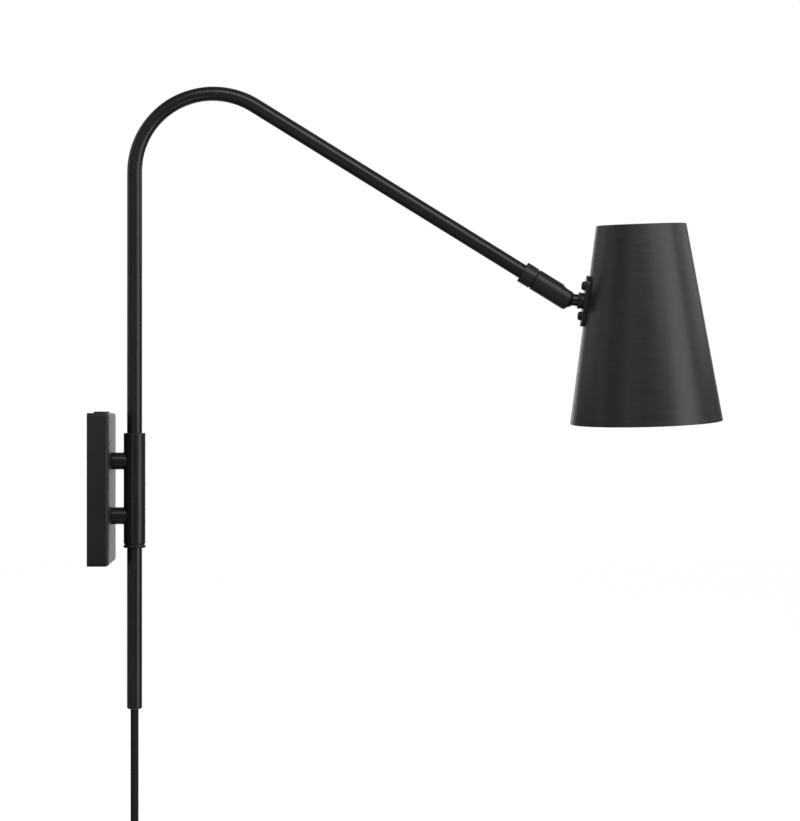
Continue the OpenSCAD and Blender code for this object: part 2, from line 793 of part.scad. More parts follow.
module cord_hank() color(textile)
  translate([rod_x - hank_half, 0, hank_top - hank_run / 2]) rotate([90, 0, 90])
    linear_extrude(2 * hank_half) difference() {
      hank_outline(hank_out_r);
      hank_outline(hank_in_r);
    }

// Outline of the hank seen from above, larger by a margin all round
module tie_outline(margin)
  square([2 * (hank_half + margin), 2 * (hank_out_r + margin)], center = true);

// Strap round the middle of the hank
module cord_tie() color(black)
  translate([rod_x, 0, hank_top - hank_run / 2 - tie_h / 2]) linear_extrude(tie_h) difference() {
    tie_outline(tie_gap + tie_t);
    tie_outline(tie_gap);
  }

// Shell from the split plane outward; direction is -1 for the front, 1 for the back
module switch_shell(direction) difference() {
  translate([rod_x, 0, switch_mid]) rotate([90, 0, 0])
    translate([0, 0, direction < 0 ? seat : -switch_half]) linear_extrude(switch_half - seat)
      rotate([0, 0, 90]) stadium(switch_l, switch_w);
  translate([rod_x, 0, switch_mid - switch_l]) cylinder(r = cord_d / 2 + 0.15, h = 2 * switch_l);
  for (side = [-1, 1])
    translate([
      rod_x + side * switch_screw_x, switch_half + past, switch_mid + side * switch_screw_z
    ])
      rotate([90, 0, 0]) cylinder(d = switch_hole_d, h = switch_screw_l + 2 * past);
}

module switch_front() color(black) difference() {
  switch_shell(-1);
  translate([rod_x - window_w / 2, -switch_half - past, switch_mid - window_h / 2])
    cube([window_w, window_depth + past, window_h]);
  translate([rod_x - trunnion_l / 2 - 0.2, rocker_y, switch_mid]) rotate([0, 90, 0])
    cylinder(r = trunnion_r + fit, h = trunnion_l + 0.4);
}

module switch_back() color(black) switch_shell(1);

module switch_screws() color(steel) for (side = [-1, 1])
  translate([
    rod_x + side * switch_screw_x, switch_half + washer_gap, switch_mid + side * switch_screw_z
  ])
    rotate([-90, 0, 0])
      pan_screw(switch_head_d, switch_head_h, switch_screw_d, switch_screw_l, switch_key);

// Rocker with its two trunnions, pressed in at its lower end
module switch_rocker() color(graphite)
  translate([rod_x, rocker_y, switch_mid]) rotate([rocker_tilt, 0, 0]) {
    translate([-rocker_w / 2, 0, 0]) rotate([90, 0, 90]) linear_extrude(rocker_w)
      polygon([
        [0.5, -rocker_l / 2], [0.5, rocker_l / 2], [-2.1, rocker_l / 2], [-1.3, 0],
        [-2.1, -rocker_l / 2]
      ]);
    translate([-trunnion_l / 2, 0, 0]) rotate([0, 90, 0]) cylinder(r = trunnion_r, h = trunnion_l);
  }

// Moulded plug: tapered relief above the body, which is recessed for the blades' roots
module plug_body() color(black) translate([tail_x, tail_y, tail_end]) {
  translate([0, 0, -plug_relief_h]) cylinder(r1 = relief_low_r, r2 = relief_top_r, h = plug_relief_h);
  difference() {
    translate([0, 0, -plug_relief_h - plug_h]) linear_extrude(plug_h + seat)
      stadium(plug_w, plug_depth);
    for (side = [-1, 1])
      translate([
        side * blade_gap / 2 - blade_t / 2 - blade_slack, -blade_w / 2 - blade_slack,
        -plug_relief_h - plug_h - past
      ])
        cube([blade_t + 2 * blade_slack, blade_w + 2 * blade_slack, blade_root + 2 * past]);
  }
}

module plug_blades() color(brass) translate([tail_x, tail_y, tail_end]) for (side = [-1, 1])
  translate([side * blade_gap / 2 - blade_t / 2, -blade_w / 2, -plug_relief_h - plug_h - blade_l])
    cube([blade_t, blade_w, blade_l + blade_root]);

backplate();
wall_bracket();
cover_screws();
upper_standoff();
lower_standoff();
standoff_screws();
standoff_washers();
sleeve();
upper_bush();
lower_bush();
liner();
clamp_ring();
arm_tube();
cord_bushing();
arm_collar();
swivel_washer();
swivel_stud();
stop_pin();
arm_lead();
swivel_barrel();
barrel_plug();
disc_springs();
ball_seat();
ball_stem();
lock_nut();
stem_washer();
stem_nut();
flange_boss();
flange_plate();
flange_saddle();
flange_screws();
flange_nuts();
shade();
lamp_bracket();
lamp_nipple();
nipple_nut();
holder_cap();
holder_body();
screw_shell();
centre_contact();
lamp_leads();
cord_drop();
cord_hank();
cord_tail();
cord_tie();
switch_front();
switch_back();
switch_screws();
switch_rocker();
plug_body();
plug_blades();
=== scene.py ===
# Plug-in swing arm wall light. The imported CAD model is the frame: lengths below are in its
# millimetres, and each piece is turned into metres when it is made.
import bmesh
import bpy
import json
import math
from mathutils import Matrix, Vector


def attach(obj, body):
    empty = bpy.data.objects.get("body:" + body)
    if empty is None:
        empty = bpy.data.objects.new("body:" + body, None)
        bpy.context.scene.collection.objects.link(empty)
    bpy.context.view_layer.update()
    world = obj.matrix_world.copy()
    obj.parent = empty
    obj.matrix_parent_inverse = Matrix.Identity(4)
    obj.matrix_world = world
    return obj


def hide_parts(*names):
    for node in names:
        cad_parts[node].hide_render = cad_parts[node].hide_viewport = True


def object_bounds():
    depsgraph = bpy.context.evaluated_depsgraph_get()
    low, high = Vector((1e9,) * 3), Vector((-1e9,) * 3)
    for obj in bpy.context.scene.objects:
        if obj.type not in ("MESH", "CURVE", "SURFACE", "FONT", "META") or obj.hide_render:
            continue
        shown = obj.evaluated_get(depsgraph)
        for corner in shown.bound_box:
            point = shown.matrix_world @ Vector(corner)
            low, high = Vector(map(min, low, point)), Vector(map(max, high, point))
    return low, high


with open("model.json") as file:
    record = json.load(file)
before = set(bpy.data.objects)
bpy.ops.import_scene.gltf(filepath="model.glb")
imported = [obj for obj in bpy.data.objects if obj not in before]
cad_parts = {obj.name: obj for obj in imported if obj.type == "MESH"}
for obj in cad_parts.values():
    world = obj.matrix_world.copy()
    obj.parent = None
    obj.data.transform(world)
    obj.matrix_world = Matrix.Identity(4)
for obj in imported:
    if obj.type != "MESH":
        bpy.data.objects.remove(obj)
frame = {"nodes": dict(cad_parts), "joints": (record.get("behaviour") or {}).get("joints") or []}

CAD_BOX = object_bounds()
MM = 0.001
JOINTS = {j["name"]: j for j in frame["joints"]}

# ---- sizes, as in the CAD source unless noted ----
# Not as there: DOME_R and the cover screws' heads, read from the photo again, and the cover's
# round edges, which its CAD piece does not have.

PLATE_H, PLATE_W, PLATE_D, PLATE_T = 132, 88, 18.4, 1.5
PLATE_CORNER, PLATE_INNER_CORNER = 2.9, 1.2
PLATE_BACK_EDGE, PLATE_FRONT_EDGE, PLATE_INNER_EDGE = 0.4, 2.7, 0.6
POST_D, POST_Z = 15, 24
ROD_X, ROD_D, ROD_T, ROD_BOTTOM = 38, 13.2, 1.6, -193
SLEEVE_TOP, SLEEVE_OD, SLEEVE_ID = 48.5, 19, 16.6
NECK_Z, BEAD_TOP, RING_BOTTOM = -49, -49.7, -52.1
BEND_START, BEND_R, ARM_DROP = 277.4, 69, 31.6
BARREL_D, BARREL_H, END_PAST_PIVOT = 19.2, 36.8, 3.9
BORE_R, DOME_R, SLOT_W, SLOT_L = 7.6, 3.2, 11, 13.2
COLLAR_L, GROOVE_L, SOCKET_L = 11.7, 1.1, 1.6
BALL_D, NECK_D, SPIGOT_R, WIRE_HOLE_R = 15, 10.6, 4, 2.5
STEM_DROP, HEAD_ROLL = 7.1, 4
SHADE_TOP_D, SHADE_RIM_D, SHADE_H, SHADE_T = 79.4, 135.2, 175, 1
FLANGE_AT, FLANGE_L, FLANGE_W, FLANGE_GAP = 67.2, 45.6, 20, 26.8
LOCK_Z, BOSS_Z, FLANGE_Z, FLANGE_T, SHADE_Z = 10.2, 12.7, 15.1, 1.6, 17.8
STEM_END = 26.6
SPIGOT_HOLE_R, FLANGE_SCREW_HOLE_R = 4.05, 2.15
CAP_Z, CAP_H, CAP_R, HOLDER_H, HOLDER_R, LAMP_R, LAMP_L = 25.6, 14.4, 19, 34, 18.5, 13.3, 22
CORD_D, CORD_EXIT_Z = 7, ROD_BOTTOM - 0.7
HANK_TOP, HANK_RUN, HANK_R, PITCH = -403, 70, 28.8, 7.2
SWITCH_MID, SWITCH_L, SWITCH_W, SWITCH_HALF = -324, 52, 26, 8
TAIL_END = -503
PLUG_L, PLUG_W, BLADE_PITCH, BLADE_END = 23.2, 15, 12.7, -58
GAP = 0.02  # between a piece and the one it is screwed against

# Screws: head, socket and shank
COVER_SCREW = {"head_d": 14, "head_h": 1.3, "dome": 1.0, "key": 3, "depth": 0.9, "shank_d": 4, "shank_l": 9}
FLANGE_SCREW = {"head_d": 8, "head_h": 3.4, "dome": 2.2, "key": 2.5, "depth": 1.6, "shank_d": 4,
                "shank_l": 11.4}
SWITCH_SCREW = {"head_d": 4.4, "head_h": 1.7, "dome": 1.0, "key": 1.5, "depth": 0.9, "shank_d": 2.5,
                "shank_l": 12, "count": 32}

BARREL_Z = END_PAST_PIVOT - BARREL_H
COLLAR_END = BARREL_Z - GROOVE_L
COLLAR_Z = COLLAR_END - COLLAR_L
HOLDER_Z = CAP_Z + CAP_H + 0.05
CONE = math.degrees(math.atan((SHADE_RIM_D - SHADE_TOP_D) / 2 / SHADE_H))
BEND_SWEEP = 90 + ARM_DROP


def at(x, y, z):
    return Matrix.Translation((x, y, z))


def turn(degrees, axis):
    return Matrix.Rotation(math.radians(degrees), 4, axis)


# Frames: the rod's, the arm's from the pivot, the barrel's, the stem's and the shade's
PIVOT = at(*(Vector(JOINTS["swivel"]["pos_m"]) / MM))
ROLL = turn(HEAD_ROLL, Vector(JOINTS["swivel"]["axis"]))
ON_ROD = at(ROD_X, 0, 0)
ON_ARM = PIVOT @ turn(90 + ARM_DROP, "Y")
ON_BARREL = PIVOT @ ROLL @ turn(90 + ARM_DROP, "Y")
ON_HEAD = PIVOT @ ROLL @ turn(90 + STEM_DROP, "Y")
IN_SHADE = (
    ON_HEAD
    @ at(-FLANGE_AT - SHADE_TOP_D / 2 * math.sin(math.radians(CONE)), 0,
         SHADE_Z + SHADE_TOP_D / 2 * math.cos(math.radians(CONE)))
    @ turn(-90 - CONE, "Y")
)

# ---- camera ----

CAMERA_AT = (0.17434, -2.048, 0.065)
CAMERA_PITCH, CAMERA_YAW = 90.09, -2.7


def add_camera():
    """Level view from the side, a little to the right of the wall."""
    data = bpy.data.cameras.new("camera")
    data.lens = 102
    data.sensor_width = 36
    data.clip_end = 60
    camera = bpy.data.objects.new("camera", data)
    camera.location = CAMERA_AT
    camera.rotation_euler = (math.radians(CAMERA_PITCH), 0, math.radians(CAMERA_YAW))
    bpy.context.collection.objects.link(camera)
    bpy.context.scene.camera = camera


add_camera()

# ---- mesh helpers, all in millimetres ----

SHARP_ANGLE = 32  # degrees between faces above which an edge is a crease
WELD_GAP = 1e-4


def circle(radius, count=96, z=0.0):
    """Points round a circle."""
    step = 2 * math.pi / count
    return [Vector((radius * math.cos(i * step), radius * math.sin(i * step), z)) for i in range(count)]


def soften(points, steps=5):
    """A closed outline of (x, y, radius) corners as (x, y) points, each corner an arc."""
    made = []
    count = len(points)
    for i, (x, y, radius) in enumerate(points):
        here = Vector((x, y))
        if radius <= 0:
            made.append(here)
            continue
        back = Vector(points[i - 1][:2]) - here
        ahead = Vector(points[(i + 1) % count][:2]) - here
        half = back.angle(ahead) / 2
        reach = min(radius / math.tan(half), 0.49 * back.length, 0.49 * ahead.length)
        back.normalize()
        ahead.normalize()
        centre = here + (back + ahead).normalized() * (reach / math.cos(half))
        start = here + back * reach - centre
        end = here + ahead * reach - centre
        whole = start.angle_signed(end)
        for k in range(steps + 1):
            made.append(centre + Matrix.Rotation(-whole * k / steps, 2) @ start)
    return made


def bridge(bm, low, high):
    """Faces between two rings; a ring of one vertex gives a tip."""
    count = max(len(low), len(high))
    for k in range(count):
        n = (k + 1) % count
        face = [low[k % len(low)], low[n % len(low)], high[n % len(high)], high[k % len(high)]]
        face = list(dict.fromkeys(face))
        if len(face) > 2:
            bm.faces.new(face)


def loft(bm, rings, cap_start=True, cap_end=True):
    """Skin over rings of equal count, closed with a flat face at each end."""
    made = [[bm.verts.new(p) for p in ring] for ring in rings]
    for low, high in zip(made, made[1:]):
        bridge(bm, low, high)
    if cap_start:
        bm.faces.new(list(reversed(made[0])))
    if cap_end:
        bm.faces.new(made[-1])


def loft_round(bm, rings):
    """Skin over rings that comes back to its first ring."""
    loft(bm, rings + [[p.copy() for p in rings[0]]], False, False)
    bmesh.ops.remove_doubles(bm, verts=bm.verts, dist=WELD_GAP)


def lathe(bm, corners, count=96):
    """Turns a closed outline of (radius, height, corner radius) about z."""
    outline = soften(corners)
    rings = [circle(p.x, count, p.y) if p.x > WELD_GAP else [Vector((0, 0, p.y))] for p in outline]
    made = [[bm.verts.new(p) for p in ring] for ring in rings]
    for low, high in zip(made, made[1:] + made[:1]):
        bridge(bm, low, high)


def inset(outline, distance):
    """A convex closed outline moved inward."""
    count = len(outline)
    made = []
    for i, p in enumerate(outline):
        before = (p - outline[i - 1]).normalized()
        after = (outline[(i + 1) % count] - p).normalized()
        normal = Vector((-(before + after).y, (before + after).x)).normalized()
        made.append(p + normal * distance)
    return made


def slab_rings(outline, low, high, soft_low=0.0, soft_high=0.0, steps=4):
    """Rings of a slab with the outline's shape and round edges at each end."""
    rings = []
    for k in range(steps + 1 if soft_low > 0 else 1):
        a = math.pi / 2 * k / steps
        edge = inset(outline, soft_low * (1 - math.sin(a)))
        rings.append([Vector((p.x, p.y, low + soft_low * (1 - math.cos(a)))) for p in edge])
    for k in range(steps + 1 if soft_high > 0 else 1):
        a = math.pi / 2 * k / steps
        edge = inset(outline, soft_high * (1 - math.cos(a)))
        rings.append([Vector((p.x, p.y, high - soft_high * (1 - math.sin(a)))) for p in edge])
    return rings


def rectangle(width, height, radius, steps=5):
    """Outline of a rectangle with round corners, anticlockwise."""
    x, y = width / 2, height / 2
    return soften([(-x, -y, radius), (x, -y, radius), (x, y, radius), (-x, y, radius)], steps=steps)


def stadium(length, width, steps=20):
    """Outline of a bar with round ends along x, anticlockwise."""
    made = []
    for side in (1, -1):
        for k in range(steps + 1):
            a = math.pi * (k / steps - 0.5)
            made.append(Vector((side * ((length - width) / 2 + width / 2 * math.cos(a)),
                                side * width / 2 * math.sin(a))))
    return made


def sweep(path, ring_at):
    """Rings along path; ring_at(i) gives the cross-section's points in (across, up)."""
    rings = []
    up = Vector((0, 1, 0))
    for i, p in enumerate(path):
        ahead = (path[min(i + 1, len(path) - 1)] - path[max(i - 1, 0)]).normalized()
        up = (up - ahead * up.dot(ahead)).normalized()
        across = up.cross(ahead)
        rings.append([p + across * q.x + up * q.y for q in ring_at(i)])
    return rings


def new_piece(name, bm, place, body, material, replaced):
    """Finishes a mesh that stands for the replaced CAD nodes: in metres, smooth, on its body."""
    bmesh.ops.recalc_face_normals(bm, faces=bm.faces)
    mesh = bpy.data.meshes.new(name)
    bm.to_mesh(mesh)
    bm.free()
    mesh.transform(Matrix.Scale(MM, 4) @ place)
    mesh.polygons.foreach_set("use_smooth", [True] * len(mesh.polygons))
    mesh.set_sharp_from_angle(angle=math.radians(SHARP_ANGLE))
    piece = bpy.data.objects.new(name, mesh)
    bpy.context.collection.objects.link(piece)
    mesh.materials.append(material)
    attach(piece, body)
    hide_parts(*replaced)
    return piece


def cut(piece, build, place):
    """Takes the solid that build() makes in a mesh out of a piece."""
    bm = bmesh.new()
    build(bm)
    bmesh.ops.recalc_face_normals(bm, faces=bm.faces)
    tool_mesh = bpy.data.meshes.new("cutter")
    bm.to_mesh(tool_mesh)
    bm.free()
    tool_mesh.transform(Matrix.Scale(MM, 4) @ place)
    tool = bpy.data.objects.new("cutter", tool_mesh)
    bpy.context.collection.objects.link(tool)
    modifier = piece.modifiers.new("cut", "BOOLEAN")
    modifier.object = tool
    modifier.solver = "EXACT"
    bpy.context.view_layer.update()
    evaluated = piece.evaluated_get(bpy.context.evaluated_depsgraph_get())
    mesh = bpy.data.meshes.new_from_object(evaluated)
    piece.modifiers.remove(modifier)
    old = piece.data
    piece.data = mesh
    bpy.data.meshes.remove(old)
    bpy.data.objects.remove(tool)
    mesh.set_sharp_from_angle(angle=math.radians(SHARP_ANGLE))
    mesh.name = piece.name


# ---- material helpers ----


def add_node(tree, kind, inputs=(), **settings):
    """A shader node whose inputs are given as values or as sockets to link."""
    made = tree.nodes.new(kind)
    for key, value in settings.items():
        setattr(made, key, value)
    for key, value in dict(inputs).items():
        if isinstance(value, bpy.types.NodeSocket):
            tree.links.new(value, made.inputs[key])
        else:
            made.inputs[key].default_value = value
    return made


class Shader:
    """A node tree under construction, with short calls for the nodes used here."""

    MIDDLE = (0.3, 0.7)  # where most of a noise's values lie

    def __init__(self, name, base, roughness, metallic=0.0):
        self.material = bpy.data.materials.new(name)
        self.material.use_nodes = True
        self.tree = self.material.node_tree
        self.bsdf = self.tree.nodes["Principled BSDF"]
        self.bsdf.inputs["Base Color"].default_value = (*base, 1)
        self.bsdf.inputs["Roughness"].default_value = roughness
        self.bsdf.inputs["Metallic"].default_value = metallic
        self.coords = self.tree.nodes.new("ShaderNodeTexCoord")
        self.material.diffuse_color = (*base, 1)

    def node(self, kind, inputs=(), **settings):
        return add_node(self.tree, kind, inputs, **settings)

    def math(self, operation, a, b=0.0):
        return self.node("ShaderNodeMath", {0: a, 1: b}, operation=operation).outputs[0]

    def mix(self, a, share_a, b, share_b):
        """The weighted sum of two values."""
        return self.math("ADD", self.math("MULTIPLY", a, share_a), self.math("MULTIPLY", b, share_b))

    def noise(self, scale, detail, vector=None, rough=0.55):
        vector = vector or self.coords.outputs["Object"]
        return self.node("ShaderNodeTexNoise", {"Vector": vector, "Scale": scale, "Detail": detail,
                                                "Roughness": rough}).outputs["Fac"]

    def spread(self, value, low, high):
        """Maps a value's middle range to low..high."""
        made = self.node("ShaderNodeMapRange", {"Value": value, "From Min": self.MIDDLE[0],
                                                "From Max": self.MIDDLE[1], "To Min": low, "To Max": high})
        return made.outputs["Result"]

    def blend(self, factor, low, high):
        """A colour from low to high over a value's middle range."""
        ramp = self.node("ShaderNodeValToRGB", {"Fac": factor})
        for element, position, colour in zip(ramp.color_ramp.elements, self.MIDDLE, (low, high)):
            element.position = position
            element.color = (*colour, 1)
        return ramp.outputs["Color"]

    def drive(self, socket, value):
        self.tree.links.new(value, self.bsdf.inputs[socket])

    def bump(self, height, distance):
        made = self.node("ShaderNodeBump", {"Height": height, "Distance": distance, "Strength": 1.0})
        self.tree.links.new(made.outputs["Normal"], self.bsdf.inputs["Normal"])


SKIN = 0.00002  # height of a coating's fine texture, metres


def powder_coat(name, low, high, rough_low, rough_high):
    """Satin coating: faint cloudiness, uneven gloss and a fine orange-peel skin."""
    s = Shader(name, high, rough_high)
    cloud = s.noise(35, 2)
    fine = s.noise(2600, 2)
    s.drive("Base Color", s.blend(cloud, low, high))
    s.drive("Roughness", s.spread(s.noise(420, 4), rough_low, rough_high))
    s.bump(s.math("ADD", fine, s.math("MULTIPLY", s.noise(500, 2), 0.8)), SKIN)
    return s.material


def shade_axis_coords(s):
    """Object coordinates turned into the shade's own frame: z runs up its axis."""
    back = (Matrix.Scale(MM, 4) @ IN_SHADE @ Matrix.Scale(1 / MM, 4)).inverted()
    made = s.node("ShaderNodeMapping", {"Vector": s.coords.outputs["Object"],
                                        "Location": back.translation, "Rotation": back.to_euler("XYZ")})
    return s.node("ShaderNodeSeparateXYZ", {0: made.outputs["Vector"]})


def spun_black():
    """Coated spun metal: rings of turned grain that fade in and out round the cone."""
    s = Shader("spun_black", (0.04, 0.04, 0.041), 0.34)
    axes = shade_axis_coords(s)
    angle = s.math("ARCTAN2", axes.outputs["Y"], axes.outputs["X"])
    along = s.node("ShaderNodeCombineXYZ", {"X": s.math("MULTIPLY", axes.outputs["Z"], 1500.0),
                                            "Y": s.math("MULTIPLY", angle, 3.0)})
    rings = s.noise(1.0, 3, along.outputs["Vector"], 0.6)
    wide = s.node("ShaderNodeCombineXYZ", {"X": s.math("MULTIPLY", axes.outputs["Z"], 260.0),
                                           "Y": s.math("MULTIPLY", angle, 1.5)})
    bands = s.noise(1.0, 2, wide.outputs["Vector"])
    tone = s.mix(rings, 0.6, bands, 0.4)
    s.drive("Base Color", s.blend(tone, (0.027, 0.027, 0.028), (0.041, 0.041, 0.042)))
    s.drive("Roughness", s.spread(bands, 0.30, 0.38))
    s.bump(s.math("ADD", rings, s.math("MULTIPLY", s.noise(2400, 2), 0.25)), SKIN)
    return s.material


def metal(name, dark, light, rough_low, rough_high):
    """Bare or plated metal: uneven tone, fine scratches."""
    s = Shader(name, light, rough_high, 1.0)
    s.drive("Base Color", s.blend(s.noise(160, 4), dark, light))
    streak = s.node("ShaderNodeMapping", {"Vector": s.coords.outputs["Object"], "Scale": (900, 900, 5200)})
    lines = s.noise(1.0, 3, streak.outputs["Vector"])
    s.drive("Roughness", s.spread(lines, rough_low, rough_high))
    s.bump(lines, 0.000012)
    return s.material


def moulding(name, low, high, rough_low, rough_high, grain):
    """Moulded plastic with a spark-eroded skin."""
    s = Shader(name, high, rough_high)
    cells = s.node("ShaderNodeTexVoronoi", {"Vector": s.coords.outputs["Object"], "Scale": 2200.0})
    s.drive("Base Color", s.blend(s.noise(60, 3), low, high))
    s.drive("Roughness", s.spread(s.noise(700, 3), rough_low, rough_high))
    s.bump(s.math("ADD", cells.outputs["Distance"], s.noise(1500, 2)), grain)
    return s.material


def braid():
    """Braided sleeve: two sets of yarns that cross over and under, from the cord's own UV, with painted
    shade in the grooves between the yarns.
    """
    yarns_round, yarns_a_metre = 10.0, 420.0
    s = Shader("cord_braid", (0.016, 0.016, 0.017), 0.75)
    uv = s.node("ShaderNodeSeparateXYZ", {0: s.coords.outputs["UV"]})
    around = s.math("MULTIPLY", uv.outputs["X"], yarns_round)
    along = s.math("MULTIPLY", uv.outputs["Y"], yarns_a_metre)
    one = s.math("ADD", around, along)
    two = s.math("SUBTRACT", around, along)
    ridge_one = s.math("ABSOLUTE", s.math("SINE", s.math("MULTIPLY", one, math.pi)))
    ridge_two = s.math("ABSOLUTE", s.math("SINE", s.math("MULTIPLY", two, math.pi)))
    steps = s.math("ADD", s.math("FLOOR", one), s.math("FLOOR", two))
    over = s.math("GREATER_THAN", s.math("PINGPONG", steps, 1.0), 0.5)
    under = s.math("SUBTRACT", 1.0, over)
    height = s.mix(ridge_one, over, ridge_two, under)
    fibre = s.noise(6000, 2)
    # Colour follows the ridge height: painted shade darkens the grooves between the yarns.
    tone = s.mix(height, 0.55, fibre, 0.4)
    s.drive("Base Color", s.blend(tone, (0.003, 0.003, 0.004), (0.016, 0.016, 0.017)))
    s.drive("Roughness", s.spread(fibre, 0.68, 0.85))
    s.bump(s.math("ADD", height, s.math("MULTIPLY", fibre, 0.3)), 0.00022)
    return s.material


SATIN = powder_coat("satin_black_coat", (0.013, 0.013, 0.014), (0.019, 0.019, 0.020), 0.25, 0.32)
# The black coat of the swivel and flange parts: rougher than the satin coat, with its base colour painted
# lighter for the brighter light falling on them.
SOFT_PAINTED_LIGHTER = powder_coat("soft_black_painted_lighter_coat", (0.023, 0.023, 0.024), (0.031, 0.031, 0.032), 0.33, 0.41)
PLATE_COAT = powder_coat("plate_coat", (0.014, 0.014, 0.015), (0.020, 0.020, 0.021), 0.40, 0.48)
SPUN = spun_black()
STEEL = metal("zinc_steel", (0.42, 0.43, 0.45), (0.62, 0.62, 0.63), 0.26, 0.44)
BRASS = metal("brass_bare", (0.62, 0.44, 0.18), (0.80, 0.60, 0.28), 0.20, 0.38)
PLASTIC = moulding("moulded_black", (0.018, 0.018, 0.019), (0.028, 0.028, 0.029), 0.46, 0.60, 0.00003)
INSERT = moulding("insert_grey", (0.34, 0.34, 0.34), (0.44, 0.44, 0.44), 0.42, 0.55, 0.00001)
PHENOLIC = moulding("holder_phenolic", (0.012, 0.011, 0.010), (0.020, 0.018, 0.017), 0.16, 0.26, 0.000004)
BRAID = braid()

# ---- cord ----

# The cord as (y, z): straight down through the switch, then aside into the hank
DROP = [
    (0, CORD_EXIT_Z), (0, -210), (0, -225), (0, -240), (0, -255), (0, -270), (0, -285), (0, -300),
    (0, -315), (0, -330), (0, -345), (0, -352), (-1, -360), (-4, -367), (-9, -373.5),
    (-14.5, -378), (-20.5, -382), (-25, -388), (-28, -395), (-28.8, HANK_TOP),
]
INNER_R = HANK_R - PITCH
# Each turn's (radius, x) in the hank's section
CELLS = [
    (HANK_R, ROD_X), (HANK_R, ROD_X - PITCH), (INNER_R, ROD_X - PITCH),
    (INNER_R, ROD_X), (INNER_R, ROD_X + PITCH), (HANK_R, ROD_X + PITCH),
]
# The phases between which each turn shifts to the next one's place
SHIFTS = [(2.95, 3.45), (2.4, 2.95), (1.9, 2.5), (1.9, 2.5), (1.1, 1.9)]


def glide(value, start, end):
    """0 before start, 1 after end, smooth between."""
    t = min(max((value - start) / (end - start), 0), 1)
    return t * t * (3 - 2 * t)


def hank_point(radius, x, phase):
    """A point on one turn: 0-1 down the left, 1-2 round the bottom, 2-3 up, 3-4 over the top."""
    low = HANK_TOP - HANK_RUN
    if phase < 1:
        return Vector((x, -radius, HANK_TOP - HANK_RUN * phase))
    if phase < 2:
        a = math.pi * (phase - 1)
        return Vector((x, -radius * math.cos(a), low - radius * math.sin(a)))
    if phase < 3:
        return Vector((x, radius, low + HANK_RUN * (phase - 2)))
    a = math.pi * (phase - 3)
    return Vector((x, radius * math.cos(a), HANK_TOP + radius * math.sin(a)))


def through(points):
    """A smooth line through points, without its last point."""
    steps = 5
    made = []
    for i in range(len(points) - 1):
        p0, p1 = points[max(i - 1, 0)], points[i]
        p2, p3 = points[i + 1], points[min(i + 2, len(points) - 1)]
        for k in range(steps):
            t = k / steps
            made.append(0.5 * (2 * p1 + (p2 - p0) * t + (2 * p0 - 5 * p1 + 4 * p2 - p3) * t * t
                               + (3 * p1 - p0 - 3 * p2 + p3) * t ** 3))
    return made


def cord_path():
    """The whole cord, from the rod's end to the plug."""
    path = through([Vector((ROD_X, y, z)) for y, z in DROP])
    turn_steps, tail_steps = 72, 20
    for k, shift in enumerate(SHIFTS):
        (r0, x0), (r1, x1) = CELLS[k], CELLS[k + 1]
        for i in range(turn_steps):
            phase = 4 * i / turn_steps
            t = glide(phase, *shift)
            path.append(hank_point(r0 + (r1 - r0) * t, x0 + (x1 - x0) * t, phase))
    radius, x = CELLS[-1]
    for i in range(tail_steps + 1):
        path.append(Vector((x, -radius, HANK_TOP + (TAIL_END - HANK_TOP) * i / tail_steps)))
    return path


CORD_PATH = cord_path()


def cord_mesh(bm, path, radius):
    """Tube along path, with U round it and V its length in metres."""
    sides = 20
    loft(bm, sweep(path, lambda i: circle(radius, sides)))
    layer = bm.loops.layers.uv.new("UVMap")
    lengths = [0.0]
    for a, b in zip(path, path[1:]):
        lengths.append(lengths[-1] + (b - a).length * MM)
    bm.verts.ensure_lookup_table()
    bm.verts.index_update()
    for face in bm.faces:
        columns = [loop.vert.index % sides for loop in face.loops]
        wraps = len(face.loops) == 4 and max(columns) - min(columns) > sides / 2
        for loop, column in zip(face.loops, columns):
            u = (column + sides if wraps and column < sides / 2 else column) / sides
            loop[layer].uv = (u, lengths[loop.vert.index // sides])


def add_cord():
    bm = bmesh.new()
    cord_mesh(bm, CORD_PATH, CORD_D / 2)
    return new_piece("power_cord", bm, Matrix.Identity(4), "arm", BRAID,
                     ["cord_drop", "cord_hank", "cord_tail"])


CORD = add_cord()

# ---- studio ----

STAGE_X = 0.25  # the middle of the object
FLOOR_R, FLOOR_GAP = 9000, 0.06
AIM_Z = 0.1

# Soft boxes: name, bearing in degrees (0 the camera's side, 90 the right), height, distance, width,
# tallness in metres, radiance
LIGHTS = [
    ("key", 60, 0.1, 1.8, 1.1, 2.4, 1.75),
    ("key_front", 30, 0.95, 1.8, 0.8, 1.1, 1.1),
    ("front_top", 12, 1.5, 1.6, 1.6, 0.7, 3.0),
    ("front_low", 20, -1.7, 1.4, 1.4, 0.6, 1.2),
    ("back_low", 180, -1.5, 1.5, 1.4, 0.6, 0.6),
    ("right_high", 112, 0.85, 1.8, 1.5, 1.3, 0.72),
    ("left_high", -120, 0.8, 1.8, 1.6, 1.5, 0.5),
    ("left", -85, 0.1, 1.8, 0.5, 2.0, 0.5),
    ("front_left", -28, 0.1, 1.9, 0.5, 2.2, 0.45),
    ("back_top", 180, 1.6, 1.6, 1.4, 0.6, 0.6),
]

# The world's radiance from the camera's side (0) past the sides (0.5) to the back (1)
TENT = [(0.0, 0.12), (0.30, 0.20), (0.62, 0.08), (0.82, 0.08), (0.91, 1.5), (1.0, 1.5)]


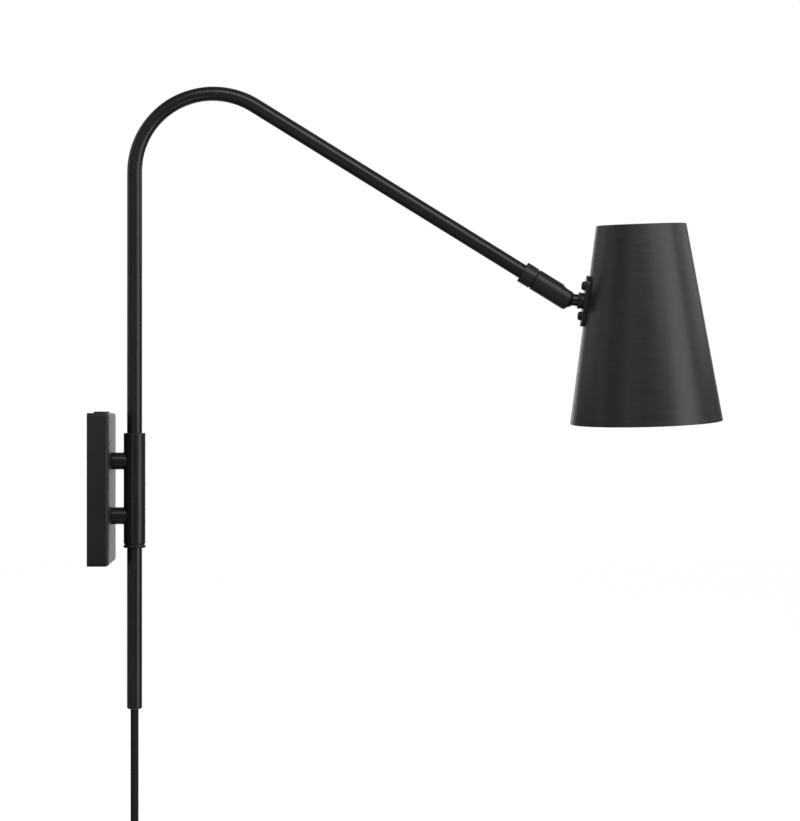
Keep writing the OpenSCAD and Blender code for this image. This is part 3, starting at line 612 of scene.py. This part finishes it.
def add_floor():
    """Plain pale floor under everything; it stays out of the reflections."""
    bm = bmesh.new()
    loft(bm, [circle(FLOOR_R, 64)], cap_start=False)
    mesh = bpy.data.meshes.new("floor")
    bm.to_mesh(mesh)
    bm.free()
    mesh.transform(Matrix.Scale(MM, 4))
    floor = bpy.data.objects.new("floor", mesh)
    floor.location = (STAGE_X, 0, CAD_BOX[0].z - FLOOR_GAP)
    floor.visible_glossy = False
    floor.visible_diffuse = False
    bpy.context.collection.objects.link(floor)
    s = Shader("pale_floor", (0.8, 0.8, 0.8), 0.9)
    s.bsdf.inputs["Emission Color"].default_value = (1, 1, 1, 1)
    s.bsdf.inputs["Emission Strength"].default_value = 0.85
    mesh.materials.append(s.material)


def add_light(name, bearing, height, distance, width, tall, radiance):
    """A soft box that faces the object and stays out of the picture."""
    data = bpy.data.lights.new(name, "AREA")
    data.shape = "RECTANGLE"
    data.size, data.size_y = width, tall
    data.energy = radiance * math.pi * width * tall
    light = bpy.data.objects.new(name, data)
    centre = Vector((STAGE_X, 0, AIM_Z))
    a = math.radians(bearing)
    light.location = centre + Vector((math.sin(a) * distance, -math.cos(a) * distance, height))
    light.rotation_euler = (centre - light.location).to_track_quat("-Z", "Y").to_euler()
    light.visible_camera = False
    bpy.context.collection.objects.link(light)


def add_world():
    """White to the camera. To the object, a tent: dim on the camera's side, dark past the
    sides and white at the back."""
    world = bpy.data.worlds.new("studio")
    bpy.context.scene.world = world
    world.use_nodes = True
    tree = world.node_tree
    tree.nodes.clear()
    coords = add_node(tree, "ShaderNodeTexCoord")
    split = add_node(tree, "ShaderNodeSeparateXYZ", {0: coords.outputs["Generated"]})
    ahead = add_node(tree, "ShaderNodeMath", {0: split.outputs["Y"], 1: -1}, operation="MULTIPLY")
    angle = add_node(tree, "ShaderNodeMath", {0: ahead.outputs[0]}, operation="ARCCOSINE")
    share = add_node(tree, "ShaderNodeMath", {0: angle.outputs[0], 1: math.pi}, operation="DIVIDE")
    ramp = add_node(tree, "ShaderNodeValToRGB", {0: share.outputs[0]})
    elements = ramp.color_ramp.elements
    while len(elements) < len(TENT):
        elements.new(0.5)
    for element, (position, value) in zip(elements, TENT):
        element.position = position
        element.color = (value, value, value, 1)
    tent = add_node(tree, "ShaderNodeBackground", {"Color": ramp.outputs["Color"]})
    white = add_node(tree, "ShaderNodeBackground", {"Color": (1, 1, 1, 1)})
    rays = add_node(tree, "ShaderNodeLightPath")
    seen = add_node(tree, "ShaderNodeMixShader", {0: rays.outputs["Is Camera Ray"], 1: tent.outputs[0],
                                                  2: white.outputs[0]})
    add_node(tree, "ShaderNodeOutputWorld", {"Surface": seen.outputs[0]})


bpy.context.scene.view_settings.view_transform = "Standard"
add_world()
add_floor()
for light in LIGHTS:
    add_light(*light)

# ---- wall side ----

OUTWARD = Matrix(((0, 0, 1, 0), (1, 0, 0, 0), (0, 1, 0, 0), (0, 0, 0, 1)))  # z away from the wall, y up


def hexagon_ring(flats, count, z):
    """A hexagon with as many points as a circle of count points."""
    made = []
    for i in range(count):
        a = 2 * math.pi * i / count
        off = (a % (math.pi / 3)) - math.pi / 6
        radius = flats / 2 / math.cos(off)
        made.append(Vector((radius * math.cos(a), radius * math.sin(a), z)))
    return made


def add_screw(bm, place, head_d, head_h, dome, key, depth, shank_d, shank_l, count=48):
    """A screw with its head's underside at 0: domed head, hexagon socket, chamfered shank."""
    head_r, shank_r = head_d / 2, shank_d / 2
    tip_r, tip_l = shank_r - 0.4, 0.5
    edge, rim_h, face_margin, socket_bevel, steps = 0.15, 0.3, 0.7, 0.12, 6
    rings = [circle(tip_r, count, -shank_l), circle(shank_r, count, tip_l - shank_l),
             circle(shank_r, count, 0), circle(head_r - edge, count, 0), circle(head_r, count, edge)]
    face_r = max(key / 2 + face_margin, head_r - dome)
    rise = min(head_h - rim_h, dome)
    for k in range(steps + 1):
        a = math.pi / 2 * k / steps
        rings.append(circle(face_r + (head_r - face_r) * math.cos(a), count,
                            head_h - rise * (1 - math.sin(a))))
    rings += [hexagon_ring(key + edge, count, head_h), hexagon_ring(key, count, head_h - socket_bevel),
              hexagon_ring(key, count, head_h - depth)]
    loft(bm, [[place @ p for p in ring] for ring in rings])


def add_backplate():
    """Pressed cover, open at the back, with round front edges."""
    bm = bmesh.new()
    inner = rectangle(PLATE_W - 2 * PLATE_T, PLATE_H - 2 * PLATE_T, PLATE_INNER_CORNER)
    outer = rectangle(PLATE_W, PLATE_H, PLATE_CORNER)
    rings = list(reversed(slab_rings(inner, 0, PLATE_D - PLATE_T, 0, PLATE_INNER_EDGE)))
    loft(bm, rings + slab_rings(outer, 0, PLATE_D, PLATE_BACK_EDGE, PLATE_FRONT_EDGE, steps=8))
    new_piece("wall_cover", bm, OUTWARD, "mount", PLATE_COAT, ["backplate"])


def add_cover_screws():
    """Low-headed screws through the cover's top and bottom."""
    bm = bmesh.new()
    for side in (0, 180):
        place = at(PLATE_D / 2, 0, 0) @ turn(side, "X") @ at(0, 0, PLATE_H / 2 + GAP)
        add_screw(bm, place, **COVER_SCREW)
    new_piece("cover_screw_pair", bm, Matrix.Identity(4), "mount", PLATE_COAT,
              ["cover_screws"])


def add_standoff(name, height):
    """Round post between plate and sleeve, its end coped to the sleeve with a small weld fillet."""
    bm = bmesh.new()
    radius, sleeve_r, count = POST_D / 2, SLEEVE_OD / 2, 72
    chamfer, weld, weld_steps = 0.35, 0.6, 5

    def ring(r, place_x):
        made = []
        for p in circle(r, count):
            made.append(Vector((place_x(p.x), p.x, height + p.y)))
        return made

    def sleeve_x(y):
        return ROD_X - math.sqrt(sleeve_r ** 2 - y ** 2)

    rings = [ring(radius - chamfer, lambda y: PLATE_D), ring(radius, lambda y: PLATE_D + chamfer)]
    rings.append(ring(radius, lambda y: sleeve_x(y) - weld - 0.1))
    for k in range(weld_steps + 1):
        a = math.pi / 2 * k / weld_steps
        grow = weld * (1 - math.cos(a))
        rings.append(ring(radius + grow, lambda y: sleeve_x(y) - weld * (1 - math.sin(a))))
    loft(bm, rings)
    new_piece(name, bm, Matrix.Identity(4), "mount", SATIN,
              [name.replace("post", "standoff")])


def add_sleeve():
    """Tube that the rod slides and turns in."""
    bm = bmesh.new()
    bore_edge, low_edge, top_edge = 0.2, 0.7, 0.45
    lathe(bm, [(SLEEVE_ID / 2, -SLEEVE_TOP, bore_edge), (SLEEVE_OD / 2, -SLEEVE_TOP, low_edge),
               (SLEEVE_OD / 2, SLEEVE_TOP, top_edge), (SLEEVE_ID / 2, SLEEVE_TOP, bore_edge)], 128)
    new_piece("rod_sleeve", bm, ON_ROD, "mount", SATIN, ["sleeve"])


def add_clamp_ring():
    """Short neck and a round finger bead."""
    bm = bmesh.new()
    bore_r, neck_r, bead_r = 7.55, 8.9, SLEEVE_OD / 2 + 0.2
    bead_edge, low_edge, neck_edge = 1.1, 0.25, 0.15
    lathe(bm, [(bore_r, RING_BOTTOM, low_edge), (bead_r, RING_BOTTOM, bead_edge),
               (bead_r, BEAD_TOP, bead_edge), (neck_r, BEAD_TOP, low_edge),
               (neck_r, NECK_Z, neck_edge), (bore_r, NECK_Z, neck_edge)], 128)
    new_piece("clamp_bead", bm, ON_ROD, "clamp", SATIN, ["clamp_ring"])


add_backplate()
add_cover_screws()
add_standoff("upper_post", POST_Z)
add_standoff("lower_post", -POST_Z)
add_sleeve()
add_clamp_ring()

# ---- arm ----


def flatten(distance, bend_length):
    """How far the bend flattens the tube in its own plane, 0 to 1, at a distance along it."""
    lead = 10
    full_from, full_to = 0.4 * bend_length, 0.6 * bend_length
    return glide(distance, -lead, full_from) * (1 - glide(distance, full_to, bend_length + lead))


def add_arm_tube():
    """One bent tube: rounded lower lip, flattened bend, straight run into the collar."""
    bm = bmesh.new()
    count, radius, bore, lip = 96, ROD_D / 2, ROD_D / 2 - ROD_T, 1.2
    bore_depth, bore_edge, bore_bevel, lip_steps = 14, 0.2, 0.25, 6
    bend_steps, narrower, wider = 84, 0.06, 0.025
    end_rings = [circle(bore, count, ROD_BOTTOM + bore_depth), circle(bore, count, ROD_BOTTOM + bore_bevel),
                 circle(bore + bore_edge, count, ROD_BOTTOM)]
    for k in range(lip_steps + 1):
        a = math.pi / 2 * k / lip_steps
        end_rings.append(circle(radius - lip + lip * math.sin(a), count,
                                ROD_BOTTOM + lip * (1 - math.cos(a))))
    end_rings = [[ON_ROD @ p for p in ring] for ring in end_rings]

    # Sections stand close together in and near the bend, and far apart along the straight runs
    bend_length = math.radians(BEND_SWEEP) * BEND_R
    path, along = [], []
    for d in [ROD_BOTTOM + 3 - BEND_START, -300, -150, -60] + list(range(-24, 0, 2)):
        path.append(Vector((ROD_X, 0, BEND_START + d)))
        along.append(d)
    for k in range(bend_steps + 1):
        a = math.radians(BEND_SWEEP) * k / bend_steps
        path.append(Vector((ROD_X + BEND_R - BEND_R * math.cos(a), 0, BEND_START + BEND_R * math.sin(a))))
        along.append(bend_length * k / bend_steps)
    last = path[-1].copy()
    arm_end = ON_ARM @ Vector((0, 0, COLLAR_END - SOCKET_L))
    ahead = (arm_end - last).normalized()
    for d in list(range(2, 26, 2)) + [80, 160, (arm_end - last).length]:
        path.append(last + ahead * d)
        along.append(bend_length + d)

    def section(i):
        share = flatten(along[i], bend_length)
        return [Vector((p.x * (1 - narrower * share), p.y * (1 + wider * share)))
                for p in circle(radius, count)]

    loft(bm, end_rings + sweep(path, section))
    new_piece("bent_tube", bm, Matrix.Identity(4), "arm", SATIN, ["arm_tube"])


def add_cord_insert():
    """Insert in the rod's mouth; only its lip shows."""
    bm = bmesh.new()
    hole, lip_r, body_r = CORD_D / 2 + 0.1, 3.95, 4.98
    low, high = ROD_BOTTOM + 0.05, ROD_BOTTOM + 12
    lathe(bm, [(hole, CORD_EXIT_Z, 0.15), (lip_r, CORD_EXIT_Z, 0.25), (lip_r, low, 0),
               (body_r, low, 0.1), (body_r, high, 0.2), (hole, high, 0.2)], 72)
    new_piece("cord_insert", bm, ON_ROD, "arm", INSERT, ["cord_bushing"])


def add_collar():
    """Collar on the arm's end, hollow for the tube and drilled for the stud."""
    bm = bmesh.new()
    r, tube_r, stud_r = BARREL_D / 2, ROD_D / 2 + GAP, 5.0
    floor = COLLAR_END - SOCKET_L + GAP
    lathe(bm, [(tube_r, COLLAR_Z, 0.15), (r, COLLAR_Z, 0.55), (r, COLLAR_END, 0.4),
               (stud_r, COLLAR_END, 0.1), (stud_r, floor, 0), (tube_r, floor, 0)], 128)
    new_piece("collar", bm, ON_ARM, "arm", SOFT_PAINTED_LIGHTER, ["arm_collar"])


add_arm_tube()
add_cord_insert()
add_collar()

# ---- swivel ----


def add_barrel():
    """Barrel with a domed end, a ball socket and the slot that the stem tilts in."""
    bm = bmesh.new()
    r, top = BARREL_D / 2, END_PAST_PIVOT
    socket_r, degrees_a_point, socket_steps = BALL_D / 2 + 0.05, 5, 11
    outline = [(BORE_R, BARREL_Z, 0.15), (r, BARREL_Z, 0.4)]
    for degree in range(91):
        a = math.radians(degree)
        edge = Vector((r - DOME_R + DOME_R * math.cos(a), top - DOME_R + DOME_R * math.sin(a)))
        if edge.length < socket_r:
            break
        if degree % degrees_a_point == 0:
            outline.append((edge.x, edge.y, 0))
    mouth = math.atan2(edge.y, edge.x)
    for k in range(socket_steps + 1):
        a = mouth * (1 - k / socket_steps)
        outline.append((socket_r * math.cos(a), socket_r * math.sin(a), 0))
    outline.append((BORE_R, 0, 0))
    lathe(bm, outline, 128)
    piece = new_piece("swivel_housing", bm, ON_BARREL, "barrel", SOFT_PAINTED_LIGHTER, ["swivel_barrel"])

    def slot(tool):
        half, low, past = SLOT_W / 2, top - SLOT_L, top + 3
        shape = soften([(-half, past, 0), (-half, low, half), (half, low, half), (half, past, 0)], 16)
        outside, axis = -r - 2, -0.01
        loft(tool, [[Vector((x, p.x, p.y)) for p in shape] for x in (outside, axis)])

    cut(piece, slot, ON_BARREL)


def add_ball_stem():
    """Ball, neck and threaded spigot turned in one piece, with a funnel for the wires."""
    bm = bmesh.new()
    funnel_z, thread, root_r, thread_from = -4.2, 0.8, SPIGOT_R - 0.35, LOCK_Z + 4
    end_r, end_chamfer = SPIGOT_R - 0.5, 0.8
    outline = [(WIRE_HOLE_R, funnel_z, 0.4)]
    start, end, steps = -math.pi / 3, math.acos(NECK_D / BALL_D), 24
    for k in range(steps + 1):
        a = start + (end - start) * k / steps
        outline.append((BALL_D / 2 * math.cos(a), BALL_D / 2 * math.sin(a), 0))
    outline += [(NECK_D / 2, LOCK_Z, 0.15), (SPIGOT_R, LOCK_Z, 0)]
    z = thread_from
    while z < STEM_END - thread:
        outline += [(SPIGOT_R, z, 0), (root_r, z + thread / 2, 0)]
        z += thread
    outline += [(SPIGOT_R, STEM_END - end_chamfer, 0), (end_r, STEM_END, 0), (WIRE_HOLE_R, STEM_END, 0.1)]
    lathe(bm, outline, 96)
    new_piece("ball_and_stem", bm, ON_HEAD, "ball", SATIN, ["ball_stem"])


def add_lock_nut():
    """Round nut with two spanner flats."""
    bm = bmesh.new()
    count, flat = 96, 6.6

    def ring(radius, z):
        return [Vector((p.x, max(-flat, min(flat, p.y)), z)) for p in circle(radius, count)]

    low, high, outer, hole, edge = LOCK_Z + GAP, BOSS_Z - 0.1, 7.3, SPIGOT_R + GAP, 0.3
    loft_round(bm, [circle(hole, count, low), ring(outer - edge, low), ring(outer, low + edge),
                    ring(outer, high - edge), ring(outer - edge, high), circle(hole, count, high)])
    new_piece("spigot_nut", bm, ON_HEAD, "ball", SOFT_PAINTED_LIGHTER, ["lock_nut"])


def stem_bores(spigot_hole_r, low, high):
    """A cutter for cut(): the holes for the spigot and the flange's two screws."""

    def bores(tool):
        for x, radius in ((0, spigot_hole_r), (-FLANGE_GAP / 2, FLANGE_SCREW_HOLE_R),
                          (FLANGE_GAP / 2, FLANGE_SCREW_HOLE_R)):
            loft(tool, [[p + Vector((x, 0, 0)) for p in circle(radius, 48, z)] for z in (low, high)])

    return bores


def add_flange():
    """Boss and plate of the flange, and its two screws."""
    bm = bmesh.new()
    boss_r, boss_top, past = 7, FLANGE_Z - GAP, 1
    outer_edge, inner_edge = 0.45, 0.2
    lathe(bm, [(SPIGOT_HOLE_R, BOSS_Z, 0.1), (boss_r, BOSS_Z, 0.4), (boss_r, boss_top, 0.1),
               (SPIGOT_HOLE_R, boss_top, 0)], 96)
    new_piece("boss", bm, ON_HEAD, "head", SOFT_PAINTED_LIGHTER, ["flange_boss"])
    bm = bmesh.new()
    shape = stadium(FLANGE_L, FLANGE_W, 24)
    loft(bm, slab_rings(shape, FLANGE_Z, FLANGE_Z + FLANGE_T, outer_edge, inner_edge))
    plate = new_piece("mounting_flange", bm, ON_HEAD, "head", SOFT_PAINTED_LIGHTER, ["flange_plate"])
    cut(plate, stem_bores(SPIGOT_HOLE_R, FLANGE_Z - past, FLANGE_Z + FLANGE_T + past), ON_HEAD)
    bm = bmesh.new()
    for side in (-1, 1):
        place = at(side * FLANGE_GAP / 2, 0, FLANGE_Z - GAP) @ turn(180, "X")
        add_screw(bm, place, **FLANGE_SCREW)
    new_piece("flange_screw_pair", bm, ON_HEAD, "head", SATIN, ["flange_screws"])


add_barrel()
add_ball_stem()
add_lock_nut()
add_flange()

# ---- shade ----


def add_shade():
    """Spun cone with a crisp top edge and a rounded rim."""
    bm = bmesh.new()
    top_r, rim_r = SHADE_TOP_D / 2, SHADE_RIM_D / 2
    top_edge, inner_edge, bead, past = 1.1, 0.5, 0.45, 4
    lathe(bm, [(0, 0, 0), (top_r, 0, top_edge), (rim_r, -SHADE_H, bead), (rim_r - SHADE_T, -SHADE_H, bead),
               (top_r - SHADE_T, -SHADE_T, inner_edge), (0, -SHADE_T, 0)], 192)
    piece = new_piece("spun_shade", bm, IN_SHADE, "head", SPUN, ["shade"])
    cut(piece, stem_bores(SPIGOT_R + 0.3, SHADE_Z - past, SHADE_Z + past), ON_HEAD)


add_shade()

# ---- lamp holder ----


def add_holder_cap():
    """Domed cap, hollow for the terminals."""
    bm = bmesh.new()
    hole_r, inner_r, round_r, dome, shoulder_z, roof_z = 5.02, CAP_R - 3, 13, 2.5, -7, -4
    lathe(bm, [(hole_r, 0, 0.2), (round_r, 0, dome), (CAP_R, shoulder_z, dome), (CAP_R, -CAP_H, 0.4),
               (inner_r, -CAP_H, 0.2), (inner_r, shoulder_z - 0.5, 0.5), (round_r, roof_z, 0.5),
               (hole_r, roof_z, 0.1)], 96)
    new_piece("cap_of_holder", bm, IN_SHADE @ at(0, 0, -CAP_Z), "head", PHENOLIC,
              ["holder_cap"])


def add_holder_body():
    """Body with grip rings, open below for the lamp."""
    bm = bmesh.new()
    top, low = -HOLDER_Z, -HOLDER_Z - HOLDER_H
    pitch, groove, flank, edge = 3.6, 0.7, 0.6, 0.25
    first_ring, last_ring, roof = top - 4, low + 10, low + HOLDER_H - 7
    outline = [(0, top, 0), (HOLDER_R, top, 0.3)]
    z = first_ring
    while z > last_ring:
        outline += [(HOLDER_R, z, edge), (HOLDER_R - groove, z - flank, edge),
                    (HOLDER_R - groove, z - 2 * flank, edge), (HOLDER_R, z - 3 * flank, edge)]
        z -= pitch
    mouth_r = LAMP_R + 1
    outline += [(HOLDER_R, low, 0.9), (mouth_r, low, 0.6), (mouth_r, roof, 0.4), (0, roof, 0)]
    lathe(bm, outline, 96)
    new_piece("body_of_holder", bm, IN_SHADE, "head", PHENOLIC, ["holder_body"])


def add_screw_shell():
    """Thin shell rolled to the lamp's thread, which fades out at both ends."""
    bm = bmesh.new()
    top, pitch, amplitude = -HOLDER_Z - 9, 3.6, 0.2
    count, rows, fade_rows = 72, 66, 8
    inner_r, outer_r = LAMP_R + 0.25, LAMP_R + 0.65

    def ring(radius, k):
        z = top - LAMP_L * k / rows
        fade = glide(k, 0, fade_rows) * (1 - glide(k, rows - fade_rows, rows))
        made = []
        for p in circle(1, count):
            phase = 2 * math.pi * z / pitch + math.atan2(p.y, p.x)
            r = radius + amplitude * math.sin(phase) * fade
            made.append(Vector((p.x * r, p.y * r, z)))
        return made

    outside = [ring(outer_r, k) for k in range(rows + 1)]
    inside = [ring(inner_r, k) for k in range(rows, -1, -1)]
    loft_round(bm, outside + inside)
    new_piece("threaded_shell", bm, IN_SHADE, "head", BRASS, ["screw_shell"])


add_holder_cap()
add_holder_body()
add_screw_shell()

# ---- what is on the cord ----


def add_tie():
    """Strap round the hank."""
    bm = bmesh.new()
    half_x, half_y = 1.5 * PITCH + 0.15, HANK_R + PITCH / 2 + 0.1
    half_w, thick, edge, outer_corner, inner_corner = 6, 1.1, 0.3, 5.5, 4.6
    outer = rectangle(2 * half_x + 2 * thick, 2 * half_y + 2 * thick, outer_corner)
    inner = rectangle(2 * half_x, 2 * half_y, inner_corner)
    loft_round(bm, slab_rings(outer, -half_w, half_w, edge, edge)
               + list(reversed(slab_rings(inner, -half_w, half_w))))
    return new_piece("hank_strap", bm, at(ROD_X, 0, HANK_TOP - HANK_RUN / 2), "arm",
                     PLASTIC, ["cord_tie"])


def add_switch():
    """Two shells with soft edges, the front one with a window, the rocker and the screws."""
    joint_edge, outer_edge = 0.2, 2.4
    window_w, window_h, window_corner, window_y = 12, 20, 0.8, -3.2
    screw_x, screw_z = 8.5, 16
    upright = [Vector((p.y, -p.x)) for p in stadium(SWITCH_L, SWITCH_W)]
    middle = at(ROD_X, 0, SWITCH_MID)
    pieces = []
    for name, node, facing in (("switch_face", "switch_front", turn(90, "X")),
                               ("switch_cover", "switch_back", turn(-90, "X"))):
        bm = bmesh.new()
        loft(bm, slab_rings(upright, GAP, SWITCH_HALF, joint_edge, outer_edge, steps=6))
        piece = new_piece(name, bm, middle @ facing, "arm", PLASTIC, [node])

        def channel(tool):
            loft(tool, [circle(CORD_D / 2 + 0.15, 32, z) for z in (-SWITCH_L, SWITCH_L)])

        cut(piece, channel, middle)
        pieces.append(piece)

    def window(tool):
        opening = rectangle(window_w, window_h, window_corner)
        loft(tool, [[Vector((p.x, y, p.y)) for p in opening] for y in (-SWITCH_HALF - 1, window_y)])

    cut(pieces[0], window, middle)
    pieces.append(add_rocker(middle))
    bm = bmesh.new()
    for side in (-1, 1):
        corner = at(ROD_X + side * screw_x, SWITCH_HALF + 0.05, SWITCH_MID + side * screw_z)
        add_screw(bm, corner @ turn(-90, "X"), **SWITCH_SCREW)
    pieces.append(new_piece("switch_screw_pair", bm, Matrix.Identity(4), "arm", STEEL,
                            ["switch_screws"]))
    return pieces


def add_rocker(middle):
    """Hollow-topped key on its axle, tilted to one side at rest."""
    bm = bmesh.new()
    half_l, half_w, edge, half_axle, axle_r = 9.7, 5.7, 0.35, 7.4, 1
    back_y, hollow_y, tip_y, pivot_y, tilt = 0.5, -1.3, -2.1, -6.5, 7
    profile = soften([(back_y, -half_l, 0.2), (back_y, half_l, 0.2), (tip_y, half_l, 0.7),
                      (hollow_y, 0, 3), (tip_y, -half_l, 0.7)], steps=6)
    rings = []
    for x, shrink in ((-half_w, edge), (edge - half_w, 0.0), (half_w - edge, 0.0), (half_w, edge)):
        rings.append([Vector((x, p.x * (1 - shrink * 0.3), p.y * (1 - shrink * 0.03))) for p in profile])
    loft(bm, rings)
    loft(bm, [[Vector((x, p.x, p.y)) for p in circle(axle_r, 24)] for x in (-half_axle, half_axle)])
    return new_piece("rocker_key", bm, middle @ at(0, pivot_y, 0) @ turn(tilt, "X"), "rocker",
                     PLASTIC, ["switch_rocker"])


def add_plug():
    """Moulded plug: ribbed relief, waisted body with finger ridges, two drilled blades."""
    place = at(ROD_X + PITCH, -HANK_R, TAIL_END)
    bm = bmesh.new()
    ribs, rib_pitch, rib_growth, groove, edge = 4, 3.1, 0.3, 0.8, 0.2
    relief_r, relief_end_r, relief_end = 4.5, 6, -14.2
    outline = [(0, 0, 0), (relief_r, 0, 0.5)]
    for k in range(ribs):
        r, z = relief_r + 0.05 + rib_growth * k, -1.6 - rib_pitch * k
        outline += [(r, z, edge), (r - groove, z - 0.35, edge), (r - groove, z - 1.15, edge),
                    (r + 0.1, z - 1.5, edge)]
    outline += [(relief_end_r, relief_end, 0), (0, relief_end, 0)]
    lathe(bm, outline, 64)
    base = stadium(PLUG_L, PLUG_W)

    def body(sections):
        """Skin over the plug's section at each (height, share of the full size)."""
        loft(bm, [[Vector((p.x * share, p.y * share, z)) for p in base] for z, share in sections])

    body(((-14, 0.80), (-15.2, 0.93), (-17.5, 1.0), (-24, 0.97), (-30, 0.955), (-36, 0.985),
          (-40.5, 1.0), (-41.6, 0.99), (-42, 0.96)))
    for z in (-22, -24.6, -27.2, -29.8):
        body(((z - 0.55, 0.965), (z - 0.25, 1.015), (z + 0.25, 1.015), (z + 0.55, 0.965)))
    plug = new_piece("plug_moulding", bm, place, "arm", PLASTIC, ["plug_body"])

    bm = bmesh.new()
    thick, wide, root, taper, hole_z, hole_r = 1.5, 6.4, -34.1, -56.6, -54, 1.5
    shape = rectangle(thick, wide, 0.2, steps=2)
    for side in (-1, 1):
        rings = [[Vector((p.x, p.y, root)) for p in shape], [Vector((p.x, p.y, taper)) for p in shape],
                 [Vector((p.x * 0.45, p.y * 0.86, BLADE_END)) for p in shape]]
        loft(bm, [[p + Vector((side * BLADE_PITCH / 2, 0, 0)) for p in ring] for ring in rings])
    blades = new_piece("plug_pins", bm, place, "arm", BRASS, ["plug_blades"])

    def holes(tool):
        loft(tool, [[Vector((x, p.x, p.y + hole_z)) for p in circle(hole_r, 32)] for x in (-10, 10)])

    cut(blades, holes, place)
    return [plug, blades]


ON_CORD = [add_tie()] + add_switch() + add_plug()

# ---- finishes of the CAD pieces that stay ----

FINISHES = {
    SOFT_PAINTED_LIGHTER: ["flange_saddle"],
    STEEL: ["wall_bracket", "standoff_screws", "standoff_washers", "liner", "swivel_stud", "stop_pin",
            "barrel_plug", "disc_springs", "stem_washer", "stem_nut", "flange_nuts", "lamp_bracket"],
    BRASS: ["lamp_nipple", "nipple_nut", "centre_contact"],
    PLASTIC: ["swivel_washer", "upper_bush", "lower_bush", "ball_seat"],
    BRAID: ["arm_lead", "lamp_leads"],
}

WELD_REACH, BEVEL_W, BEVEL_ANGLE = 0.000002, 0.00018, 38  # metres, metres, degrees


def finish_cad_nodes():
    """Gives each carried-over node its finish and softens its edges without touching its mesh."""
    for material, names in FINISHES.items():
        for name in names:
            node = frame["nodes"][name]
            node.data.materials.clear()
            node.data.materials.append(material)
            weld = node.modifiers.new("weld", "WELD")
            weld.merge_threshold = WELD_REACH
            bevel = node.modifiers.new("edges", "BEVEL")
            bevel.width = BEVEL_W
            bevel.segments = 2
            bevel.limit_method = "ANGLE"
            bevel.angle_limit = math.radians(BEVEL_ANGLE)


finish_cad_nodes()
